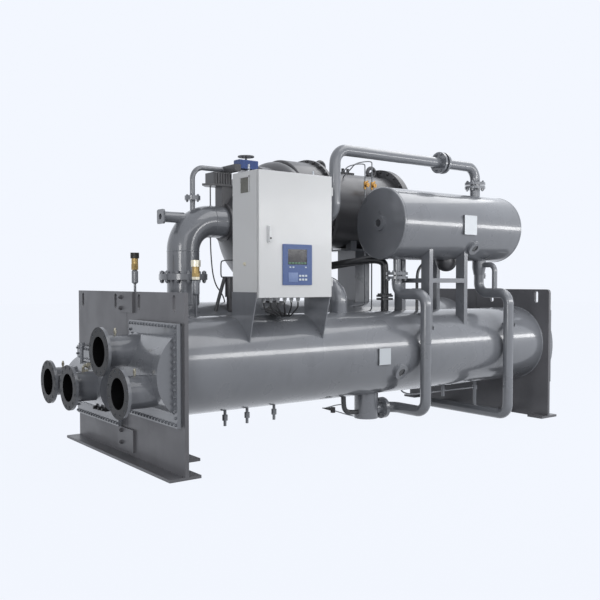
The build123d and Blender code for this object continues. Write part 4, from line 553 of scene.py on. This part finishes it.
# Weld beads where pipes and plates meet, and round the shells.
welds = bmesh.new()
for centre, radius, low_x, high_x in (
    (CONDENSER, CONDENSER_RADIUS, shell_low.x, shell_high.x),
    (EVAPORATOR, EVAPORATOR_RADIUS, rear_low.x, rear_high.x),
):
    for x in (low_x + 0.003, high_x - 0.003):
        torus(welds, (x, centre.y, centre.z), X_AXIS, radius, 0.006, sides=96)
for x in (vessel_low.x, vessel_high.x):
    torus(welds, (x, ECONOMIZER.y, ECONOMIZER.z), X_AXIS, ECONOMIZER_RADIUS - 0.001, 0.0035, sides=96)
SUCTION_RADIUS = 0.1337
torus(welds, suction_centre + Z_AXIS * SUCTION_FLANGE, Z_AXIS, SUCTION_RADIUS, 0.005)
torus(welds, suction_centre - Z_AXIS * SUCTION_FLANGE, Z_AXIS, SUCTION_RADIUS, 0.005)
torus(welds, (suction_centre.x, EVAPORATOR.y, 1.522), Z_AXIS, SUCTION_RADIUS, 0.0035)
torus(welds, (suction_centre.x + 0.254, EVAPORATOR.y, 1.776), X_AXIS, SUCTION_RADIUS, 0.0035)
for y, z in NOZZLES:
    torus(welds, (NOZZLE_FACE_X + 0.022, y, z), X_AXIS, NOZZLE_PIPE_RADIUS, 0.004)
piece("weld_beads", welds, "shell_paint", smooth=80)

# Fittings of the panel: eyes on top, side filter, latch lock and the keypad's buttons.
panel_low, panel_high = box_of("control_panel")
eyes = bmesh.new()
EYE_Y = -0.730
for x in (0.600, 1.165):
    foot = Vector((x, EYE_Y, panel_high.z))
    drum(eyes, foot, Z_AXIS, 0.015, 0.010, sides=20)
    torus(eyes, foot + Z_AXIS * 0.030, (0.8, -0.6, 0.0), 0.019, 0.0065, sides=28)
piece("panel_eyes", eyes, "galvanized_steel", smooth=60)

VENT_Y = (-0.790, -0.680)
VENT_Z = (1.885, 1.999)
vent = bmesh.new()
slab(vent, (panel_low.x - 0.010, VENT_Y[0], VENT_Z[1] - 0.012), (panel_low.x, VENT_Y[1], VENT_Z[1]))
slab(vent, (panel_low.x - 0.006, VENT_Y[0], VENT_Z[0]), (panel_low.x, VENT_Y[0] + 0.006, VENT_Z[1]))
slab(vent, (panel_low.x - 0.006, VENT_Y[1] - 0.006, VENT_Z[0]), (panel_low.x, VENT_Y[1], VENT_Z[1]))
piece("side_filter_frame", vent, "panel_paint", smooth=0)
louvres = bmesh.new()
LOUVRE_COUNT = 10
slab(louvres, (panel_low.x - 0.002, VENT_Y[0], VENT_Z[0]), (panel_low.x, VENT_Y[1], VENT_Z[1]))
for index in range(LOUVRE_COUNT):
    z = VENT_Z[0] + 0.006 + (VENT_Z[1] - VENT_Z[0] - 0.026) * index / (LOUVRE_COUNT - 1)
    slab(
        louvres,
        (panel_low.x - 0.006, VENT_Y[0] + 0.007, z - 0.0032),
        (panel_low.x - 0.002, VENT_Y[1] - 0.007, z + 0.0032),
    )
piece("side_filter_louvres", louvres, "handle_metal", smooth=0, finish=louvre_grey)
knob = bmesh.new()
KNOB = Vector((panel_low.x, -0.732, 1.393))
drum(knob, KNOB, -X_AXIS, 0.013, 0.006, sides=28)
drum(knob, KNOB - X_AXIS * 0.006, -X_AXIS, 0.010, 0.009, sides=28, end_radius=0.007)
piece("side_knob", knob, "gland_nylon", finish=ivory)

bezel_low, bezel_high = box_of("display_bezel")
screen_low, screen_high = box_of("display_screen")
FACE_Y = bezel_low.y
PICTURE = srgb(74, 62, 78)


def keys(name, places, width, height, finish, rise=0.003, face=FACE_Y):
    """Flat keys with rounded edges on the face of the keypad."""
    bm = bmesh.new()
    for x, z in places:
        soft_slab(bm, (x - width / 2, face - rise, z - height / 2), (x + width / 2, face, z + height / 2), 0.0012)
    piece(name, bm, "gland_nylon", DOOR, finish=finish)


KEY_X = [screen_high.x - 0.062 + 0.026 * column for column in range(3)]
KEY_Z = [bezel_low.z + 0.038 + 0.026 * row for row in range(2)]
keys("keypad_buttons", [(x, z) for x in KEY_X for z in KEY_Z], 0.019, 0.014, key_white)
ROUND_Z = screen_low.z - 0.018
ROUND_X = (screen_low.x + 0.018, screen_low.x + 0.045, screen_high.x - 0.012)
keys("keypad_selectors", [(x, ROUND_Z) for x in ROUND_X], 0.014, 0.009, key_white)
PAD_X = screen_low.x + 0.044
PAD_Z = bezel_low.z + 0.054
keys("keypad_pad", [(PAD_X, PAD_Z)], 0.082, 0.066, key_pale_blue, rise=0.0015)
GREEN_X = [screen_low.x + 0.016 + (screen_high.x - screen_low.x - 0.032) * index / 5 for index in range(6)]
keys(
    "keypad_soft_keys",
    [(x, screen_low.z + 0.011) for x in GREEN_X],
    0.022,
    0.012,
    key_green,
    rise=0.0015,
    face=screen_low.y,
)

handle_low, handle_high = box_of("door_handle")
lock = bmesh.new()
lock_seat = Vector(((handle_low.x + handle_high.x) / 2, handle_low.y, handle_low.z + 0.036))
drum(lock, lock_seat, -Y_AXIS, 0.0065, 0.003, sides=24)
slab(
    lock,
    lock_seat + Vector((-0.001, -0.0036, -0.004)),
    lock_seat + Vector((0.001, -0.003, 0.004)),
)
piece("latch_lock", lock, "cable_black", DOOR)

# Small tubes and fittings that stay on the machine
tube(
    "capillary_tube",
    [
        (0.971, 0.433, 1.645),
        (0.971, 0.433, 1.600),
        (0.975, 0.433, 1.497),
        (0.990, 0.433, 1.340),
        (1.023, 0.433, 1.235),
        (1.075, 0.433, 1.180),
        (1.110, 0.433, 1.110),
        (1.110, 0.433, 1.080),
    ],
    0.0055,
    "shell_paint",
    finish=dark_tube,
)
tube(
    "pressure_tap_line",
    [(0.971, 0.433, 2.084), (0.971, 0.433, 2.000), (0.971, 0.433, 1.906)],
    0.0055,
    "shell_paint",
    finish=dark_tube,
)
tube(
    "oil_return_strut",
    [(0.878, 0.200, 1.020), (0.900, 0.200, 1.100), (0.945, 0.200, 1.240), (0.968, 0.200, 1.310)],
    0.015,
    "shell_paint",
    finish=dark_tube,
)
strainer = bmesh.new()
STRAINER = Vector((1.020, 0.200, 1.025))
drum(strainer, STRAINER, Z_AXIS, 0.030, 0.120, sides=28)
drum(strainer, STRAINER + Z_AXIS * 0.120, Z_AXIS, 0.043, 0.155, sides=32)
drum(strainer, STRAINER + Z_AXIS * 0.275, Z_AXIS, 0.050, 0.014, sides=32)
piece("oil_strainer", strainer, "casting_paint")
tube(
    "oil_sample_loop",
    [
        (1.000, 0.200, 1.305),
        (0.945, 0.200, 1.305),
        (0.932, 0.200, 1.318),
        (0.932, 0.200, 1.370),
        (0.932, 0.200, 1.425),
        (0.945, 0.200, 1.446),
        (1.060, 0.200, 1.450),
        (1.180, 0.260, 1.450),
        (1.230, 0.330, 1.470),
    ],
    0.0055,
    "shell_paint",
    finish=dark_tube,
)

# Gauge valves on the front of the motor, with lines up to a loop and down to the shell
gauge_valves = bmesh.new()
for index, x in enumerate((2.378, 2.463)):
    top_z = 2.345 + 0.030 * index
    tube(
        ("gauge_line_left", "gauge_line_right")[index],
        [
            (x, 0.060, 1.960),
            (x, 0.060, 2.140),
            (x, 0.060, top_z - 0.030),
            (x - 0.004, 0.060, top_z),
            (x - 0.080, 0.080, top_z - 0.006),
            (x - 0.165, 0.110, top_z - 0.030),
            (x - 0.185, 0.140, top_z - 0.075),
            (x - 0.185, 0.250, 2.240),
        ],
        0.0055,
        "shell_paint",
    )
    seat = Vector((x, 0.060, 2.115))
    drum(gauge_valves, seat, Z_AXIS, 0.013, 0.070, sides=6)
    drum(gauge_valves, seat + Vector((0.0, 0.0, 0.035)), -Y_AXIS, 0.009, 0.035, sides=16)
    drum(gauge_valves, seat + Vector((0.0, -0.035, 0.035)), -Y_AXIS, 0.020, 0.008, sides=20)
    drum(gauge_valves, seat + Vector((0.0, 0.0, 0.050)), (0.8, 0.0, 0.6), 0.008, 0.045, sides=12)
piece("gauge_valves", gauge_valves, "valve_brass", finish=copper_brass)
for name, x, reach in (("drop_line_left", 2.378, 0.255), ("drop_line_right", 2.463, 0.165)):
    foot_z = 1.040 if reach > 0.2 else 0.985
    tube(
        name,
        [
            (x, 0.060, 2.140),
            (x, 0.060, 1.600),
            (x, 0.060, foot_z + 0.080),
            (x, 0.060, foot_z + 0.030),
            (x, 0.100, foot_z + 0.010),
            (x, reach, foot_z),
        ],
        0.0065,
        "shell_paint",
    )
tube(
    "oil_drain_pipe",
    [
        (2.290, -0.300, 0.950),
        (2.290, -0.300, 1.150),
        (2.290, -0.300, 1.380),
        (2.285, -0.295, 1.445),
        (2.220, -0.240, 1.470),
        (2.080, -0.090, 1.440),
        (1.960, 0.150, 1.400),
        (1.860, 0.330, 1.420),
        (1.850, 0.380, 1.470),
    ],
    0.034,
    "shell_paint",
    finish=dark_tube,
)
drain_flange = bmesh.new()
for z in (1.112, 1.139):
    drum(drain_flange, (2.290, -0.300, z), Z_AXIS, 0.072, 0.018, sides=40)
ring_of_bolts(drain_flange, Vector((2.290, -0.300, 1.157)), Z_AXIS, 0.054, 6, 0.009)
piece("oil_drain_flange", drain_flange, "casting_paint")
tube(
    "economizer_vent_tube",
    [
        (2.540, -0.555, 1.470),
        (2.510, -0.555, 1.435),
        (2.440, -0.555, 1.375),
        (2.427, -0.555, 1.300),
        (2.428, -0.555, 1.180),
        (2.428, -0.555, 1.015),
    ],
    0.013,
    "shell_paint",
    finish=dark_tube,
)

# Fittings round the sump
tube(
    "sump_bend",
    [
        (1.655, -0.498, 0.362),
        (1.655, -0.498, 0.290),
        (1.670, -0.498, 0.225),
        (1.740, -0.498, 0.205),
        (1.815, -0.498, 0.205),
    ],
    0.020,
    "shell_paint",
    finish=dark_tube,
)
tube(
    "sump_line_low",
    [(1.815, -0.498, 0.165), (1.740, -0.498, 0.180), (1.640, -0.498, 0.212), (1.546, -0.498, 0.245)],
    0.0045,
    "shell_paint",
)
tube(
    "sump_line_high",
    [(1.655, -0.498, 0.282), (1.600, -0.498, 0.285), (1.520, -0.498, 0.276), (1.480, -0.498, 0.272)],
    0.0045,
    "shell_paint",
)
sump_valve = bmesh.new()
drum(sump_valve, (1.546, -0.498, 0.226), Z_AXIS, 0.019, 0.042, sides=20)
drum(sump_valve, (1.530, -0.498, 0.255), (-1.0, 0.0, 0.20), 0.014, 0.095, sides=18, end_radius=0.003)
piece("sump_valve", sump_valve, "cable_black")

# Line and hangers under the condenser, and clips that hold the two front pipes
tube(
    "under_line",
    [(2.300, -0.498, 0.345), (2.330, -0.498, 0.298), (2.655, -0.498, 0.294), (3.250, -0.498, 0.291)],
    0.0065,
    "shell_paint",
)
hangers = bmesh.new()
drum(hangers, (2.822, -0.498, 0.246), Z_AXIS, 0.015, 0.106, sides=20)
drum(hangers, (3.252, -0.498, 0.112), Z_AXIS, 0.016, 0.240, sides=20)
drum(hangers, (3.252, -0.498, 0.272), Z_AXIS, 0.024, 0.040, sides=20)
piece("under_hangers", hangers, "shell_paint")
clips = bmesh.new()
LIQUID_FRONT_Y = -0.892
for x, z in ((LIQUID_X, 0.896), (FEED_X, 0.886)):
    slab(clips, (x + 0.030, LIQUID_FRONT_Y - 0.006, z - 0.014), (x + 0.082, LIQUID_FRONT_Y + 0.006, z + 0.014))
    slab(clips, (x + 0.070, LIQUID_FRONT_Y - 0.006, z - 0.014), (x + 0.082, -0.742, z + 0.014))
piece("pipe_clips", clips, "shell_paint", smooth=0)
feed_valve = bmesh.new()
drum(feed_valve, (FEED_X + 0.040, ECONOMIZER.y, 1.326), X_AXIS, 0.011, 0.045, sides=16)
drum(feed_valve, (FEED_X + 0.060, ECONOMIZER.y, 1.300), Z_AXIS, 0.021, 0.050, sides=20)
piece("feed_valve", feed_valve, "shell_paint")

# Plugs and vents of the evaporator's water box, each rooted in the rolled wall behind it
PLUG_ROOT = 0.016


def wall_plugs(name, places, slot_name, finish=None):
    """Round bosses with a hexagon end. Each place is wall x, y, z and boss radius."""
    bm = bmesh.new()
    for wall_x, y, z, radius in places:
        root_x = wall_x + PLUG_ROOT
        boss_length = PLUG_ROOT + 0.018
        drum(bm, (root_x, y, z), -X_AXIS, radius, boss_length, sides=20)
        drum(bm, (root_x - boss_length, y, z), -X_AXIS, radius * 0.72, 0.020, sides=6)
    piece(name, bm, slot_name, finish=finish)


FITTINGS = ((-0.1051, 0.430, 0.632, 0.020), (-0.1367, 0.395, 0.590, 0.017))
DRAINS = (
    (-0.0865, 0.304, 0.325, 0.017),
    (-0.0924, 0.200, 0.330, 0.017),
    (-0.0979, 0.113, 0.335, 0.017),
)
wall_plugs("water_box_fittings", FITTINGS, "valve_brass", vents.material)
wall_plugs("water_box_drains", DRAINS, "cable_black")
top_vent = bmesh.new()
drum(top_vent, (-0.095, 0.600, 0.630), Z_AXIS, 0.014, 0.155, sides=16)
drum(top_vent, (-0.095, 0.600, 0.760), Z_AXIS, 0.024, 0.034, sides=20)
drum(top_vent, (-0.095, 0.600, 0.777), -Y_AXIS, 0.010, 0.045, sides=12)
piece("water_box_vent", top_vent, "shell_paint")

# Studio: pale floor and backdrop, a strip in front, a box at the left and one overhead
BACKDROP = srgb(243, 247, 255)
FLOOR_DIFFUSE = srgb(92, 93, 96)


def clear_view(tree, camera_share, glossy_share):
    """How much of the backdrop's own colour a ray sees, by its kind."""
    rays = tree.nodes.new("ShaderNodeLightPath")
    amounts = []
    for output, share in (
        ("Is Camera Ray", camera_share),
        ("Is Glossy Ray", glossy_share),
        ("Is Transmission Ray", glossy_share),
    ):
        amount = tree.nodes.new("ShaderNodeMath")
        amount.operation = "MULTIPLY"
        tree.links.new(rays.outputs[output], amount.inputs[0])
        amount.inputs[1].default_value = share
        amounts.append(amount.outputs[0])
    total = amounts[0]
    for amount in amounts[1:]:
        larger = tree.nodes.new("ShaderNodeMath")
        larger.operation = "MAXIMUM"
        tree.links.new(total, larger.inputs[0])
        tree.links.new(amount, larger.inputs[1])
        total = larger.outputs[0]
    return total


def stage_material():
    """Pale ground that takes a soft shadow and otherwise shows the backdrop's colour."""
    finish = Finish("studio_ground", FLOOR_DIFFUSE, 0.9)
    shine = finish.node("ShaderNodeEmission")
    shine.inputs["Color"].default_value = BACKDROP
    shine.inputs["Strength"].default_value = 1.09
    blend = finish.node("ShaderNodeMixShader")
    finish.link(clear_view(finish.tree, 0.90, 0.85), blend.inputs["Fac"])
    finish.link(finish.shader.outputs["BSDF"], blend.inputs[1])
    finish.link(shine.outputs["Emission"], blend.inputs[2])
    output = finish.tree.nodes["Material Output"]
    finish.link(blend.outputs["Shader"], output.inputs["Surface"])
    return finish.material


ground_mesh = bmesh.new()
bmesh.ops.create_grid(ground_mesh, x_segments=1, y_segments=1, size=40.0)
mesh = bpy.data.meshes.new("studio_floor")
ground_mesh.to_mesh(mesh)
ground_mesh.free()
studio_floor = bpy.data.objects.new("studio_floor", mesh)
studio_floor.location = (2.0, 0.0, -0.001)
bpy.context.scene.collection.objects.link(studio_floor)
mesh.materials.append(stage_material())

world = bpy.data.worlds.new("studio")
bpy.context.scene.world = world
world.use_nodes = True
tree = world.node_tree
background = tree.nodes["Background"]
background.inputs["Color"].default_value = srgb(232, 233, 236)
background.inputs["Strength"].default_value = 0.36
seen = tree.nodes.new("ShaderNodeBackground")
seen.inputs["Color"].default_value = BACKDROP
seen.inputs["Strength"].default_value = 1.0
choose = tree.nodes.new("ShaderNodeMixShader")
tree.links.new(clear_view(tree, 1.0, 1.0), choose.inputs["Fac"])
tree.links.new(background.outputs["Background"], choose.inputs[1])
tree.links.new(seen.outputs["Background"], choose.inputs[2])
tree.links.new(choose.outputs["Shader"], tree.nodes["World Output"].inputs["Surface"])


def softbox(name, place, target, width, height, power):
    """A soft rectangular lamp that looks at the target and stays out of the picture."""
    lamp = bpy.data.lights.new(name, "AREA")
    lamp.shape = "RECTANGLE"
    lamp.size = width
    lamp.size_y = height
    lamp.energy = power
    holder = bpy.data.objects.new(name, lamp)
    holder.location = place
    holder.rotation_euler = (Vector(target) - Vector(place)).to_track_quat("-Z", "Y").to_euler()
    holder.visible_camera = False
    bpy.context.scene.collection.objects.link(holder)
    return holder


softbox("front_strip", (5.2, -3.5, 1.95), (5.2, -0.8, 0.78), 7.0, 0.55, 84)
softbox("left_strip", (-4.0, -3.5, 1.7), (0.6, 0.35, 1.4), 1.5, 2.6, 82)
softbox("overhead", (4.5, -1.2, 6.0), (3.0, -0.2, 0.8), 9.0, 3.4, 170)
softbox("front_fill", (0.2, -7.5, 3.6), (1.9, -0.4, 1.0), 7.0, 4.0, 95)

# Camera at the photograph's place
YAW = math.radians(36.91)
PITCH = math.radians(1.99)
camera = bpy.data.cameras.new("camera")
camera.lens = 46.3
camera.sensor_width = 36.0
camera.shift_y = 0.015
view = bpy.data.objects.new("camera", camera)
view.location = (-2.347, -5.243, 1.267)
view.rotation_euler = (math.pi / 2 - PITCH, 0.0, -YAW)
bpy.context.scene.collection.objects.link(view)
bpy.context.scene.camera = view
bpy.context.scene.view_settings.view_transform = "Standard"
